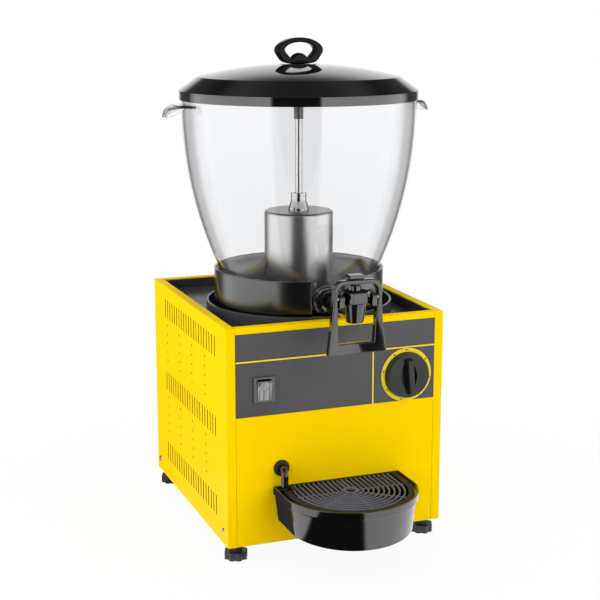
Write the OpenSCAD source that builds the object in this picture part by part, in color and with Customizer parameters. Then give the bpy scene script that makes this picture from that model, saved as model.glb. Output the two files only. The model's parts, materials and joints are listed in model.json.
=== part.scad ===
// Refrigerated drink dispenser: a folded steel cabinet with a cooling unit, a clear
// bowl that lifts off an upright cooling cylinder, a push-back tap, a drip tray and a lid.
// Millimetres. +Z is up, the front faces -Y, and the origin is on the floor under the
// middle of the outline.

/* [Cabinet] */
// Width over the side panels
cab_w = 280; // [265:1:310]
// Depth over the front and rear panels
cab_d = 320; // [310:1:350]
// Height of the panels
cab_h = 270; // [262:1:300]
// Thickness of the sheet steel
sheet_t = 1.2; // [0.8:0.1:1.5]
// Width of the folded panel edges
fold_w = 11; // [9:0.5:11.5]
// Open seam between two panels
seam = 0.4; // [0.2:0.1:0.6]
// Depth of the deck below the rim
deck_drop = 14; // [11:0.5:17]
// Height of the turned-up edge of the base pan
pan_h = 30; // [24:1:40]

/* [Side vents] */
// Slots in one row
vent_count = 21; // [11:1:22]
// Spacing of the slots
vent_pitch = 11; // [8:0.5:11.5]
// Width of one slot
vent_w = 3; // [2:0.5:4]
// Height of one slot
vent_h = 25; // [16:1:28]
// Height of the lowest row above the panel's edge
vent_low = 40; // [36:1:46]
// Spacing of the three rows
vent_rise = 100; // [95:1:102]
// Diameter of the small round holes between the rows
vent_hole_d = 3; // [2:0.5:4]

/* [Feet] */
// Height of a foot below the cabinet
foot_h = 20; // [18:0.5:26]
// Diameter over the lobes of a foot
foot_d = 29; // [24:1:30]
// Radius of the foot's threaded stud
foot_stud_r = 4; // [3:0.5:5]
// Distance of a front foot from the front face
foot_set_y = 18; // [17:1:28]
// Distance of a rear foot from the rear face
foot_set_rear = 12; // [11:1:28]
// Distance of a foot from the side face
foot_set_x = 15.5; // [15:0.5:24]

/* [Bowl] */
// Distance of the bowl's axis behind the front face
bowl_set = 131; // [130:1:140]
// Outer radius at the rim
bowl_r = 146; // [140:1:152]
// Outer radius where the bowl enters its collar
bowl_neck_r = 102; // [98:1:104]
// How strongly the side curves, as a power
bowl_curve = 2.15; // [1.9:0.05:2.4]
// Height of the bowl from its base to its rim
bowl_h = 256.5; // [245:0.5:275]
// Thickness of the bowl's wall
bowl_wall = 3; // [2:0.5:4]
// Height of the bowl's base over the deck
bowl_lift = 14; // [12:0.5:18]
// Width of one lifting ear
ear_w = 66; // [50:1:80]
// How far an ear stands out from the rim
ear_out = 28; // [24:1:32]

/* [Bowl seat] */
// Outer radius of the black collar
collar_r = 107.4; // [107:0.1:110]
// Thickness of the collar
collar_t = 3; // [2:0.1:3.2]
// Height of the collar over the cabinet's rim
collar_rise = 43; // [40:1:46]
// Half width of the collar's notch for the outlet
notch_w = 27; // [25:1:32]
// Outer radius of the lip round the seat
lip_r = 118; // [114:0.5:118]
// Height of the lip over the cabinet's rim
lip_rise = 1.7; // [0:0.1:4]

/* [Cooling cylinder and spray pump] */
// Outer radius of the cooling cylinder
evap_r = 43.5; // [41:0.5:48]
// Height of the cooling cylinder over the deck
evap_h = 128.5; // [118:0.5:140]
// Thickness of the cylinder's wall
evap_wall = 1.5; // [1:0.1:2]
// Outer radius of the spray tube
spray_r = 4.4; // [4:0.1:5]
// Height of the spray tube over the cylinder
spray_h = 122; // [100:1:130]
// Height of the pump's bell
bell_h = 21.5; // [20:0.5:26]

/* [Tap] */
// Distance of the nozzle ahead of the front face
tap_reach = 51.5; // [46:0.5:58]
// Distance of the outlet boss's face ahead of the bowl's axis
boss_reach = 106; // [104:0.5:110]
// Half width of the outlet boss
boss_w = 21; // [19:0.5:23]
// Half height of the outlet boss
boss_h = 18; // [17:0.5:19]
// Radius of the tap's barrel
barrel_r = 10; // [9:0.5:11]
// Drop of the nozzle below the barrel's axis
nozzle_drop = 9; // [8:0.5:12]
// Radius of the plunger's stem
stem_r = 3.7; // [3:0.1:4.2]
// Height of the plunger's cap over the barrel's axis
cap_rise = 43; // [41:0.5:46]
// Drop of the lever's lower edge below the barrel's axis
lever_drop = 45; // [40:1:52]
// Half width of the lever at its lower edge
lever_foot_w = 36.5; // [33:0.5:40]
// Half width of the lever's window
lever_window_w = 23.5; // [23.5:0.1:24.5]
// Thickness of the lever from front to back
lever_t = 9; // [8:0.5:10]
// Height of the lever's lower bar
lever_bar_h = 12.5; // [9:0.5:16]

/* [Lid] */
// How far the lid's band stands out past the bowl's rim
lid_over = 2.5; // [2.2:0.1:7]
// Height of the band
lid_band_h = 11; // [9:0.5:14]
// Width of the lid's slope, seen from above
lid_slope_w = 23.8; // [18:0.1:33]
// Height of the sloping part
lid_slope_h = 16.5; // [14:0.5:20]
// Height of the dome over the shoulder
lid_dome_h = 15; // [12:0.5:20]
// Thickness of the lid
lid_t = 3; // [2:0.5:4]
// Half width of the lid's handle
handle_w = 31; // [28:0.5:36]
// Height of the handle
handle_h = 32; // [30:0.5:38]
// Width of the handle's grip
handle_grip = 10.5; // [8:0.5:12]
// Thickness of the handle from front to back
handle_t = 14; // [10:0.5:18]

/* [Controls] */
// Height of the control plate
plate_h = 101; // [90:1:104]
// Thickness of the control plate
plate_t = 0.6; // [0.4:0.1:1]
// Gap from the control plate up to the rim
plate_drop = 7.5; // [6:0.5:9]
// Distance of the switch from the control plate's left end
switch_in = 34.6; // [28.6:0.2:48.6]
// Height of the switch and the dial over the control plate's lower edge
control_up = 32.5; // [31:0.5:36]
// Width of the switch's frame
switch_w = 27; // [26:0.5:28]
// Height of the switch's frame
switch_h = 31; // [30:0.5:32]
// Tip of the rocker to either side of level
rocker_tip = 8; // [5:0.5:9]
// Distance of the dial from the control plate's right end
dial_in = 37.6; // [34.6:0.2:48.6]
// Radius of the thermostat's knob
knob_r = 28; // [24:0.5:29]
// Depth of the knob
knob_d = 19; // [17:0.5:24]

/* [Drip tray] */
// Reach of the tray ahead of the front face
tray_reach = 120; // [110:1:130]
// Half width of the tray
tray_w = 83; // [78:0.5:90]
// Length of the tray's straight sides
tray_side = 52; // [45:1:58]
// Height of the tray's top over the floor
tray_top = 92; // [88:0.5:94]
// Height of the tray
tray_h = 44; // [40:0.5:48]
// Thickness of the tray's walls
tray_wall = 2.5; // [2:0.1:3]
// Thickness of the grille
grille_t = 4; // [3:0.5:5]
// Spacing of the grille's slots
slot_pitch = 6.25; // [6:0.25:7.25]
// Width of a grille slot
slot_w = 3.8; // [3:0.1:4.5]
// Distance of the drain outlet from the middle
drain_x = 72; // [68:0.5:74]
// Height of the drain outlet over the tray's top
drain_up = 22; // [19:0.5:26]
// Outer radius of the drain pipe
drain_r = 4.5; // [4:0.1:5]

/* [Cooling unit] */
// Radius of the compressor
comp_r = 55; // [45:1:58]
// Height of the compressor's can
comp_h = 118; // [90:1:125]
// Width of the condenser
cond_w = 190; // [160:1:200]
// Height of the condenser
cond_h = 150; // [130:1:160]
// Radius of the fan
fan_r = 60; // [50:1:64]

/* [Hidden] */
$fn = 96;
// Loose fit between neighbouring sheets
fit = 0.3;
// Radial running clearance of a pin in its hole
run = 0.06;
// Radial clearance of a pressed or screwed piece in its hole
press = 0.03;
// Overshoot of a cutting shape
cut = 1;

// Levels
base_z = foot_h;
rim_z = base_z + cab_h;
deck_z = rim_z - deck_drop;
pan_z = base_z + sheet_t;
bowl_z = deck_z + bowl_lift;
bowl_top = bowl_z + bowl_h;
collar_top = rim_z + collar_rise;
evap_top = deck_z + evap_h;
plate_z = rim_z - plate_drop - plate_h;
control_z = plate_z + control_up;

// Front, rear and bowl axis, with the outline centred on the origin
gland_out = 4;
outline_d = tray_reach + cab_d + gland_out;
front_y = tray_reach - outline_d / 2;
rear_y = front_y + cab_d;
bowl_y = front_y + bowl_set;
inner_x = cab_w / 2 - sheet_t - fit;
fold_x = cab_w / 2 - fold_w - seam;

// Screws of the panels
screw_r = 1.9;
screw_head_r = 4;
screw_head_h = 2;
screw_len = 8;
screw_up = 16.5;
side_screw_y = [18, cab_d - 15];
rear_screw_x = cab_w / 2 - 32;

// Cooling cylinder
evap_flange_r = evap_r + 16;
evap_flange_t = 3;
evap_top_t = 2;
evap_edge_r = 3;
deck_hole_r = evap_r - evap_wall;
gasket_r = evap_r + 12;
coil_t = 5;
coil_h = 70;
coil_z = evap_top - evap_top_t - coil_h - 12;
motor_r = 24;
motor_h = 50;
motor_gap = 17;
post_r = 2.5;
rotor_r = 13;
rotor_t = 6;
rotor_shaft_r = 2;
rotor_shaft_in = 12;
rotor_shaft_len = 24;
pump_pin_r = 1.5;
pump_pin_h = 7.5;
bell_r = 13;
bell_neck_r = 9.7;
bell_wall = 2.5;
impeller_r = 8.4;
impeller_gap = 0.8;
tube_wall = 1.4;
nozzle_r = spray_r + 1.5;
nozzle_h = 20.5;
nozzle_grip = 8;

// Bowl
bowl_floor_t = 4;
bowl_hole_r = evap_r + 2.5;
sole_in = 30;
bowl_sole_r = bowl_neck_r - sole_in;
bowl_steps = 24;
split_step = 10;
base_steps = 6;
ear_t = 3;
ear_root = 12;
ear_drop = 21;
boss_rim = 3;
boss_pocket = 4;

// Tap, measured from the barrel's axis
tap_y = front_y - tap_reach;
tap_z = bowl_z + boss_h;
boss_y = bowl_y - boss_reach;
pocket_y = boss_y + boss_pocket;
shank_r = barrel_r - 2;
shank_in = 20;
washer_t = 2;
washer_fit = 0.5;
nut_t = 9;
nut_r = shank_r + 5.6;
tap_bore_r = 4.5;
head_r = 12.2;
nozzle_tip_r = 9.3;
flange_up = 15;
flange_t = 5;
arm_half_d = 5;
chamber_r = 8.3;
seat_up = -5;
hex_r = 15.5;
hex_h = 12.5;
hex_roof = 3.5;
seal_t = 2.5;
seal_r = chamber_r - 0.5;
plunger_head_t = 3.5;
plunger_lift = 4;
cap_half_w = 8.6;
cap_half_d = 6;
cap_h = 4;
ear_in = 18;
ear_plate = 4;
ear_round = 6.5;
pivot_ahead = 7;
pivot_up = 21;
pin_r = 2.4;
pin_bite = 3;
pin_end = lever_window_w + pin_bite;
pivot_y = tap_y - pivot_ahead;
pivot_z = tap_z + pivot_up;
lever_gap = 0.7;
lever_y = pivot_y + 1.5;
lever_top = tap_z + cap_rise - lever_gap;
lever_top_w = 27;
lever_arch_t = 5.3;
lever_corner_r = 12;
lever_low = tap_z - lever_drop;
prong_in = stem_r + 1.3;
prong_w = 5;
prong_t = 3.3;
prong_reach = 14;
spring_r = 5.7;
spring_wire_r = 0.6;
spring_turns = 6;
spring_steps = 10;
spring_sides = 6;

// Lid and handle
lid_lap = 3;
lid_r = bowl_r + lid_over;
lid_shoulder_r = lid_r - lid_slope_w;
lid_z = bowl_top - lid_lap;
lid_ledge = 9;
lid_apex = lid_z + lid_band_h + lid_slope_h + lid_dome_h;
lid_dome_r = (pow(lid_shoulder_r, 2) + pow(lid_dome_h, 2)) / (2 * lid_dome_h);
handle_bar_h = 4;
handle_waist = 0.45 * handle_h;
button_r = 12.3;
button_h = 9.3;
handle_screw_r = 3;

// Controls
switch_x = fold_x - switch_in;
dial_x = fold_x - dial_in;
cutout_w = switch_w - 5;
cutout_h = switch_h - 4;
bezel_t = 2.2;
switch_body_d = 22;
rocker_w = 17;
rocker_l = cutout_h - 4.5;
rocker_pin_r = 1.5;
rocker_pivot = 4;
bushing_r = 5;
dial_shaft_r = 3;
thermo_nut_t = 2;
knob_gap = 2;

// Drip tray
tray_sag = tray_reach - tray_side;
tray_arc_r = (pow(tray_w, 2) + pow(tray_sag, 2)) / (2 * tray_sag);
tray_arc_y = tray_reach - tray_arc_r;
tray_gap = 0.6;
tray_rim_h = 10;
tray_step = 2;
tray_ledge = 3.5;
tray_low = tray_top - tray_h;
tray_floor_z = tray_low + 13.7;
grille_z = tray_top - grille_t;
grille_fit = 0.4;
grille_border = 5;
grille_back = 9;
hub_r = 11;
hub_y = 44;
rail_x = 40;
rail_w = 8;
rail_l = 70;
rail_h = 8;
grommet_r = 10.4;
grommet_hole_r = drain_r + 2.5;
grommet_t = 3;
drain_z = tray_top + drain_up;
drain_bend = 8;
drain_out = 4;
drain_in = 25;
drain_clear = 1.2;

// Cooling unit
comp_clear = 23;
comp_ahead = 57;
comp_x = comp_r + comp_clear - cab_w / 2;
comp_y = front_y + comp_r + comp_ahead;
comp_lift = 12;
comp_plate_t = 2;
mount_r = 9;
mount_x = comp_r - 8;
mount_y = 42;
cond_t = 24;
cond_y = rear_y - sheet_t - 8 - cond_t;
fan_z = pan_z + cond_h / 2 + 5;
fan_gap = 18;
fan_y = cond_y - fan_gap;
fan_shaft_l = 18;
fan_blade_w = 22;
fan_blade_t = 1.6;
fan_blade_root = 3;
fan_hub_r = 14;
fan_hub_h = 12;
fan_shaft_r = 2.5;
fan_motor_r = 22;
fan_motor_h = 30;
fan_motor_y = fan_y - fan_hub_h - 1.5;
pipe_r = coil_t / 2 - 0.1;
pipe_braze = 0.4;
pipe_z = pan_z + cond_h + 20;
suction_x = 30;
gland_r = 9;
gland_bore_r = 4;
gland_z = base_z + 45;
gland_in = 45;
gland_x = gland_in - cab_w / 2;

// A box between two corners
module box(low, high) {
    translate(low) cube(high - low);
}

// A ring standing on the XY plane
module ring(outer_r, inner_r, h) {
    difference() {
        cylinder(r = outer_r, h = h);
        translate([0, 0, -cut]) cylinder(r = inner_r, h = h + 2 * cut);
    }
}

// A round bar along +X, +Y or -Y from where it is placed
module bar_x(r, l) {
    rotate([0, 90, 0]) cylinder(r = r, h = l);
}

module bar_y(r, l) {
    rotate([-90, 0, 0]) cylinder(r = r, h = l);
}

// A copy on each side of the middle plane
module both_sides() {
    children();
    mirror([1, 0, 0]) children();
}

// Cabinet

// The flat side sheet, drawn as depth across and height up
module side_sheet() {
    vent_mid = cab_d / 2 - 5;
    hole_mid = cab_d / 2 + 12;
    hole_pitch = 57;
    hole_rise = 12;
    hole_up = 3.5;
    difference() {
        square([cab_d, cab_h]);
        for (row = [0:2], col = [0:vent_count - 1])
            translate([vent_mid + (col - (vent_count - 1) / 2) * vent_pitch, vent_low + row * vent_rise])
                square([vent_w, vent_h], center = true);
        for (group = [0:1], row = [-2:2], col = [0:3])
            translate([hole_mid + (col - 1.5) * hole_pitch,
                vent_low + (group + 0.5) * vent_rise + hole_up + row * hole_rise])
                circle(d = vent_hole_d);
        for (y = side_screw_y)
            translate([y, screw_up]) circle(r = screw_r + press);
    }
}

// The right side panel: sheet, front and rear flanges, top fold and its lip
module side_panel() {
    outer = cab_w / 2;
    inner = cab_w / 2 - fold_w;
    translate([outer - sheet_t, front_y, base_z]) rotate([90, 0, 90]) linear_extrude(sheet_t) side_sheet();
    box([inner, front_y, base_z], [outer, front_y + sheet_t, rim_z]);
    box([inner, rear_y - sheet_t, base_z], [outer, rear_y, rim_z]);
    box([inner, front_y, rim_z - sheet_t], [outer, rear_y, rim_z]);
    box([inner, front_y, deck_z], [inner + sheet_t, rear_y, rim_z]);
}

module right_side_panel() {
    color("gold") side_panel();
}

module left_side_panel() {
    color("gold") mirror([1, 0, 0]) side_panel();
}

// The front sheet with its top fold, and holes for the switch, the dial and the drain
module front_panel() {
    color("gold") difference() {
        union() {
            box([-fold_x, front_y, base_z], [fold_x, front_y + sheet_t, rim_z]);
            box([-fold_x, front_y, rim_z - sheet_t], [fold_x, front_y + fold_w, rim_z]);
            box([-fold_x, front_y + fold_w - sheet_t, deck_z], [fold_x, front_y + fold_w, rim_z]);
        }
        control_holes();
        translate([-drain_x, front_y - cut, drain_z]) bar_y(grommet_hole_r, sheet_t + 2 * cut);
    }
}

// Cut-outs that the front panel and the control plate share
module control_holes() {
    box([-switch_x - cutout_w / 2, front_y - plate_t - cut, control_z - cutout_h / 2],
        [-switch_x + cutout_w / 2, front_y + sheet_t + cut, control_z + cutout_h / 2]);
    translate([dial_x, front_y - plate_t - cut, control_z])
        bar_y(bushing_r + fit / 2, plate_t + sheet_t + 2 * cut);
}

// The rear sheet with its top fold, air slots and the gland's hole
module rear_panel() {
    slot_rows = 9;
    slot_half = 70;
    color("gold") difference() {
        union() {
            box([-fold_x, rear_y - sheet_t, base_z], [fold_x, rear_y, rim_z]);
            box([-fold_x, rear_y - fold_w, rim_z - sheet_t], [fold_x, rear_y, rim_z]);
            box([-fold_x, rear_y - fold_w, deck_z], [fold_x, rear_y - fold_w + sheet_t, rim_z]);
        }
        for (row = [0:slot_rows - 1])
            translate([0, rear_y, fan_z + (row - (slot_rows - 1) / 2) * 14])
                cube([2 * slot_half, 4 * sheet_t, 5], center = true);
        translate([gland_x, rear_y - sheet_t - cut, gland_z]) bar_y(gland_r - 2, sheet_t + 2 * cut);
        for (side = [-1, 1])
            translate([side * rear_screw_x, rear_y - sheet_t - cut, base_z + screw_up])
                bar_y(screw_r + press, sheet_t + 2 * cut);
    }
}

// The pan that carries the feet and the cooling unit
module base_pan() {
    back = rear_y - sheet_t - fit;
    front = front_y + sheet_t + fit;
    boss_up = 10;
    color("silver") difference() {
        union() {
            box([-inner_x, front, base_z], [inner_x, back, pan_z]);
            both_sides() box([inner_x - sheet_t, front, base_z], [inner_x, back, base_z + pan_h]);
            box([-inner_x, front, base_z], [inner_x, front + sheet_t, base_z + pan_h]);
            box([-inner_x, back - sheet_t, base_z], [inner_x, back, base_z + pan_h]);
            for (at = foot_places()) translate([at.x, at.y, base_z]) cylinder(r = foot_stud_r + 3, h = boss_up);
        }
        for (at = foot_places())
            translate([at.x, at.y, base_z - cut]) cylinder(r = foot_stud_r + run, h = boss_up + 2 * cut);
        both_sides() for (y = side_screw_y)
            translate([inner_x - sheet_t - cut, front_y + y, base_z + screw_up])
                bar_x(screw_r + press, sheet_t + 2 * cut);
        both_sides() translate([rear_screw_x, back - sheet_t - cut, base_z + screw_up])
            bar_y(screw_r + press, sheet_t + 2 * cut);
    }
}

// Front left, front right, rear left, rear right
function foot_places() = [for (y = [front_y + foot_set_y, rear_y - foot_set_rear], side = [-1, 1])
    [side * (cab_w / 2 - foot_set_x), y]];

// A moulded foot with finger lobes, a neck and a threaded stud
module levelling_foot(place) {
    lobes = 8;
    lobe_r = 4;
    disc_h = foot_h / 2;
    color("black") translate([place.x, place.y, 0]) {
        linear_extrude(disc_h) {
            circle(r = foot_d / 2 - 2);
            for (i = [0:lobes - 1])
                rotate(i * 360 / lobes) translate([foot_d / 2 - lobe_r, 0]) circle(r = lobe_r);
        }
        cylinder(r = foot_stud_r + 4, h = foot_h);
        cylinder(r = foot_stud_r, h = foot_h + 20);
    }
}

module foot_front_left() {
    levelling_foot(foot_places()[0]);
}

module foot_front_right() {
    levelling_foot(foot_places()[1]);
}

module foot_rear_left() {
    levelling_foot(foot_places()[2]);
}

module foot_rear_right() {
    levelling_foot(foot_places()[3]);
}

// Pan-head screws through the side and rear panels into the base pan
module panel_screws() {
    color("silver") {
        both_sides() for (y = side_screw_y)
            translate([cab_w / 2, front_y + y, base_z + screw_up]) rotate([0, 90, 0]) pan_screw();
        both_sides() translate([rear_screw_x, rear_y, base_z + screw_up]) rotate([-90, 0, 0]) pan_screw();
    }
}

// A screw with its head standing on the XY plane
module pan_screw() {
    difference() {
        cylinder(r1 = screw_head_r, r2 = screw_head_r - 1.2, h = screw_head_h);
        for (turn = [45, 135])
            rotate(turn) translate([-screw_r, -0.45, screw_head_h - 1]) cube([2 * screw_r, 0.9, 1 + cut]);
    }
    translate([0, 0, -screw_len]) cylinder(r = screw_r, h = screw_len + 0.2);
}

// The recessed deck with upturned edges and the upright lip round the bowl's seat
module top_deck() {
    wall_x = cab_w / 2 - fold_w - fit;
    wall_front = front_y + fold_w + fit;
    wall_rear = rear_y - fold_w - fit;
    wall_top = rim_z - sheet_t;
    color([0.1, 0.1, 0.11]) difference() {
        union() {
            box([-inner_x, front_y + sheet_t + fit, deck_z - sheet_t],
                [inner_x, rear_y - sheet_t - fit, deck_z]);
            difference() {
                box([-wall_x, wall_front, deck_z - sheet_t], [wall_x, wall_rear, wall_top]);
                box([-wall_x + sheet_t, wall_front + sheet_t, deck_z],
                    [wall_x - sheet_t, wall_rear - sheet_t, wall_top + cut]);
            }
            translate([0, bowl_y, deck_z - sheet_t])
                ring(lip_r, lip_r - 3, sheet_t + deck_drop + lip_rise);
        }
        translate([0, bowl_y, deck_z - sheet_t - cut]) cylinder(r = deck_hole_r, h = sheet_t + 2 * cut);
    }
}

// A ring round the bowl's base that is open at the front for the outlet
module notched_ring(outer_r, inner_r, top) {
    difference() {
        translate([0, bowl_y, deck_z]) ring(outer_r, inner_r, top - deck_z);
        box([-notch_w, bowl_y - outer_r - cut, bowl_z - 4], [notch_w, bowl_y - inner_r / 2, top + cut]);
    }
}

module bowl_collar() {
    color([0.03, 0.03, 0.03]) notched_ring(collar_r, collar_r - collar_t, collar_top);
}

// Grey insulating ring inside the collar
module seat_liner() {
    color("lightgray") notched_ring(collar_r - collar_t - fit / 2, bowl_neck_r + 2 * fit, collar_top - 1.5);
}

// Controls

module control_plate() {
    color([0.25, 0.25, 0.27]) difference() {
        box([-fold_x, front_y - plate_t, plate_z], [fold_x, front_y, plate_z + plate_h]);
        control_holes();
    }
}

// The switch's frame: bezel, body through the panel, cavity, pivot holes and terminals
module switch_frame() {
    face_y = front_y - plate_t;
    body_w = cutout_w - fit;
    body_h = cutout_h - fit;
    color([0.08, 0.08, 0.08]) translate([-switch_x, face_y, control_z]) {
        difference() {
            union() {
                box([-switch_w / 2, -bezel_t, -switch_h / 2], [switch_w / 2, 0, switch_h / 2]);
                box([-body_w / 2, -bezel_t, -body_h / 2], [body_w / 2, switch_body_d, body_h / 2]);
            }
            box([-rocker_w / 2 - fit, -bezel_t - cut, -rocker_l / 2 - 1.5],
                [rocker_w / 2 + fit, switch_body_d - 4, rocker_l / 2 + 1.5]);
            translate([-rocker_w / 2 - 2, rocker_pivot, 0]) bar_x(rocker_pin_r + run, rocker_w + 4);
        }
        for (up = [-8, 0, 8])
            box([-2.4, switch_body_d, up - 0.4], [2.4, switch_body_d + 8, up + 0.4]);
    }
}

// The rocker on its two pivot pins, tipped with its lower end pressed in
module switch_rocker() {
    half = rocker_l / 2;
    color([0.45, 0.45, 0.47])
        translate([-switch_x, front_y - plate_t + rocker_pivot, control_z]) rotate([rocker_tip, 0, 0]) {
            rotate([90, 0, 90]) linear_extrude(rocker_w, center = true)
                polygon([[-9.5, half], [-8.2, 0], [-9.5, -half], [-5, -half], [3, -4], [4, 0], [3, 4], [-5, half]]);
            translate([-rocker_w / 2 - 1.6, 0, 0]) bar_x(rocker_pin_r, rocker_w + 3.2);
        }
}

// The thermostat behind the front panel, with its threaded bushing
module thermostat_body() {
    color("silver") translate([dial_x, front_y + sheet_t, control_z]) difference() {
        union() {
            box([-20, 0, -16], [20, 28, 16]);
            translate([0, -sheet_t - plate_t - thermo_nut_t - 1, 0])
                bar_y(bushing_r, sheet_t + plate_t + thermo_nut_t + 1);
        }
        translate([0, -sheet_t - plate_t - thermo_nut_t - 1 - cut, 0]) bar_y(dial_shaft_r + run, 24);
    }
}

// The flat nut that clamps the bushing on the control plate
module thermostat_nut() {
    color("silver") translate([dial_x, front_y - plate_t - thermo_nut_t, control_z])
        rotate([-90, 0, 0]) difference() {
            cylinder(r = bushing_r + 4, h = thermo_nut_t, $fn = 6);
            translate([0, 0, -cut]) cylinder(r = bushing_r + press, h = thermo_nut_t + 2 * cut);
        }
}

module thermostat_shaft() {
    front_end = front_y - plate_t - knob_gap - knob_d + 5;
    color("silver") translate([dial_x, front_end, control_z])
        bar_y(dial_shaft_r, front_y + sheet_t + 15 - front_end);
}

// The knob: a hollow drum with a lens-shaped grip across its face
module thermostat_knob() {
    grip_h = 9;
    drum_d = knob_d - grip_h;
    grip_half_l = knob_r - 2.5;
    grip_half_w = 7;
    lens_r = (pow(grip_half_l, 2) + pow(grip_half_w, 2)) / (2 * grip_half_w);
    color([0.04, 0.04, 0.04]) translate([dial_x, front_y - plate_t - knob_gap, control_z])
        rotate([90, 0, 0]) difference() {
            union() {
                cylinder(r = knob_r, h = drum_d - 2);
                translate([0, 0, drum_d - 2]) cylinder(r1 = knob_r, r2 = knob_r - 2, h = 2);
                rotate(-4) linear_extrude(knob_d) intersection_for (side = [-1, 1])
                    translate([side * (lens_r - grip_half_w), 0]) circle(r = lens_r);
            }
            translate([0, 0, -cut]) difference() {
                cylinder(r = knob_r - 3, h = drum_d - 3 + cut);
                cylinder(r = dial_shaft_r + 4, h = drum_d);
            }
            translate([0, 0, -cut]) cylinder(r = bushing_r + 6, h = 4 + cut);
            translate([0, 0, -cut]) cylinder(r = dial_shaft_r + press, h = knob_d - 5 + cut);
        }
}

// Drain and drip tray

module drain_grommet() {
    color([0.05, 0.05, 0.05]) translate([-drain_x, front_y, drain_z]) rotate([90, 0, 0]) difference() {
        union() {
            cylinder(r1 = grommet_r, r2 = grommet_r - 1, h = grommet_t);
            translate([0, 0, -sheet_t - 2]) cylinder(r = grommet_hole_r - press, h = sheet_t + 2);
        }
        translate([0, 0, -sheet_t - 2 - cut]) cylinder(r = drain_r + press, h = sheet_t + grommet_t + 2 + 2 * cut);
    }
}

// The drain pipe: straight out of the cabinet, a quarter bend and a short drop
module drain_elbow() {
    drop = drain_z - drain_bend - tray_top - drain_clear;
    color([0.05, 0.05, 0.05]) translate([-drain_x, front_y - drain_out, drain_z]) {
        rotate([-90, 0, 0]) drain_pipe(drain_out + drain_in);
        translate([0, 0, -drain_bend]) rotate([0, -90, 0]) rotate(-90)
            rotate_extrude(angle = 90) translate([drain_bend, 0]) difference() {
                circle(r = drain_r);
                circle(r = drain_r - 1.2);
            }
        translate([0, -drain_bend, -drain_bend - drop]) drain_pipe(drop);
    }
}

module drain_pipe(l) {
    ring(drain_r, drain_r - 1.2, l);
}

// The tray's outline in plan, drawn in by a margin, with Y = 0 at the front panel
module tray_outline(margin, back) {
    half = tray_w - margin;
    intersection() {
        translate([-half, -tray_reach - cut]) square([2 * half, tray_reach + cut - back]);
        union() {
            translate([0, -tray_arc_y]) circle(r = tray_arc_r - margin);
            translate([-half - cut, -tray_arc_y]) square([2 * (half + cut), tray_arc_y + 2 * cut]);
        }
    }
}

// Two runners on a back plate, under the tray's floor
module tray_bracket() {
    color("silver") {
        box([-rail_x - 15, front_y - 2, tray_floor_z - rail_h - fit],
            [rail_x + 15, front_y, tray_floor_z - fit]);
        both_sides() box([rail_x - rail_w / 2, front_y - rail_l, tray_floor_z - rail_h - fit],
            [rail_x + rail_w / 2, front_y, tray_floor_z - fit]);
    }
}

// The tray: rim, body, catch basin, ledge for the grille and a hollow underneath
module drip_tray() {
    color([0.04, 0.04, 0.04]) translate([0, front_y, 0]) difference() {
        union() {
            translate([0, 0, tray_top - tray_rim_h]) linear_extrude(tray_rim_h) tray_outline(0, tray_gap);
            translate([0, 0, tray_low]) linear_extrude(tray_h - cut) tray_outline(tray_step, tray_gap);
        }
        translate([0, 0, grille_z]) linear_extrude(grille_t + cut) tray_outline(tray_wall, tray_gap + tray_wall);
        translate([0, 0, tray_floor_z + tray_wall])
            linear_extrude(tray_h) tray_outline(tray_step + tray_ledge, tray_gap + tray_wall + tray_ledge);
        translate([0, 0, tray_low - cut])
            linear_extrude(tray_floor_z - tray_low + cut) tray_outline(tray_step + tray_wall, -cut);
    }
}

// One U-shaped curve: a round front and straight sides that run to the back
module u_shape(r) {
    translate([0, -hub_y]) circle(r = r);
    translate([-r, -hub_y]) square([2 * r, hub_y]);
}

// The grille: U-shaped slots round a hole, joined by low bars underneath
module drip_grille() {
    edge = tray_wall + grille_fit;
    slots = floor((tray_w - edge - grille_border - hub_r) / slot_pitch);
    bar_h = grille_t - 1.5;
    notch_side = drain_r + 3;
    color([0.04, 0.04, 0.04]) translate([0, front_y, grille_z]) difference() {
        union() {
            linear_extrude(grille_t) difference() {
                tray_outline(edge, tray_gap + edge);
                intersection() {
                    tray_outline(edge + grille_border, grille_back);
                    for (i = [0:slots - 1]) difference() {
                        u_shape(hub_r + (i + 1) * slot_pitch);
                        u_shape(hub_r + (i + 1) * slot_pitch - slot_w);
                    }
                }
                translate([0, -hub_y]) circle(r = hub_r - slot_w / 2);
            }
            linear_extrude(bar_h) intersection() {
                tray_outline(edge, tray_gap + edge);
                for (turn = [0, 180, 230, 270, 310])
                    translate([0, -hub_y]) rotate(turn) translate([hub_r, -1.5])
                        square([tray_reach, 3]);
            }
        }
        box([-tray_w, -drain_out - drain_bend - notch_side, -cut],
            [-drain_x + notch_side, 0, grille_t + cut]);
    }
}

module cord_gland() {
    color([0.05, 0.05, 0.05]) translate([gland_x, rear_y + gland_out, gland_z]) rotate([90, 0, 0]) difference() {
        union() {
            cylinder(r1 = gland_r - 1.5, r2 = gland_r, h = gland_out);
            cylinder(r = gland_r - 2 - press, h = gland_out + sheet_t + 8);
        }
        translate([0, 0, -cut]) cylinder(r = gland_bore_r, h = gland_out + sheet_t + 8 + 2 * cut);
    }
}

// Cooling unit in the cabinet

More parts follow.
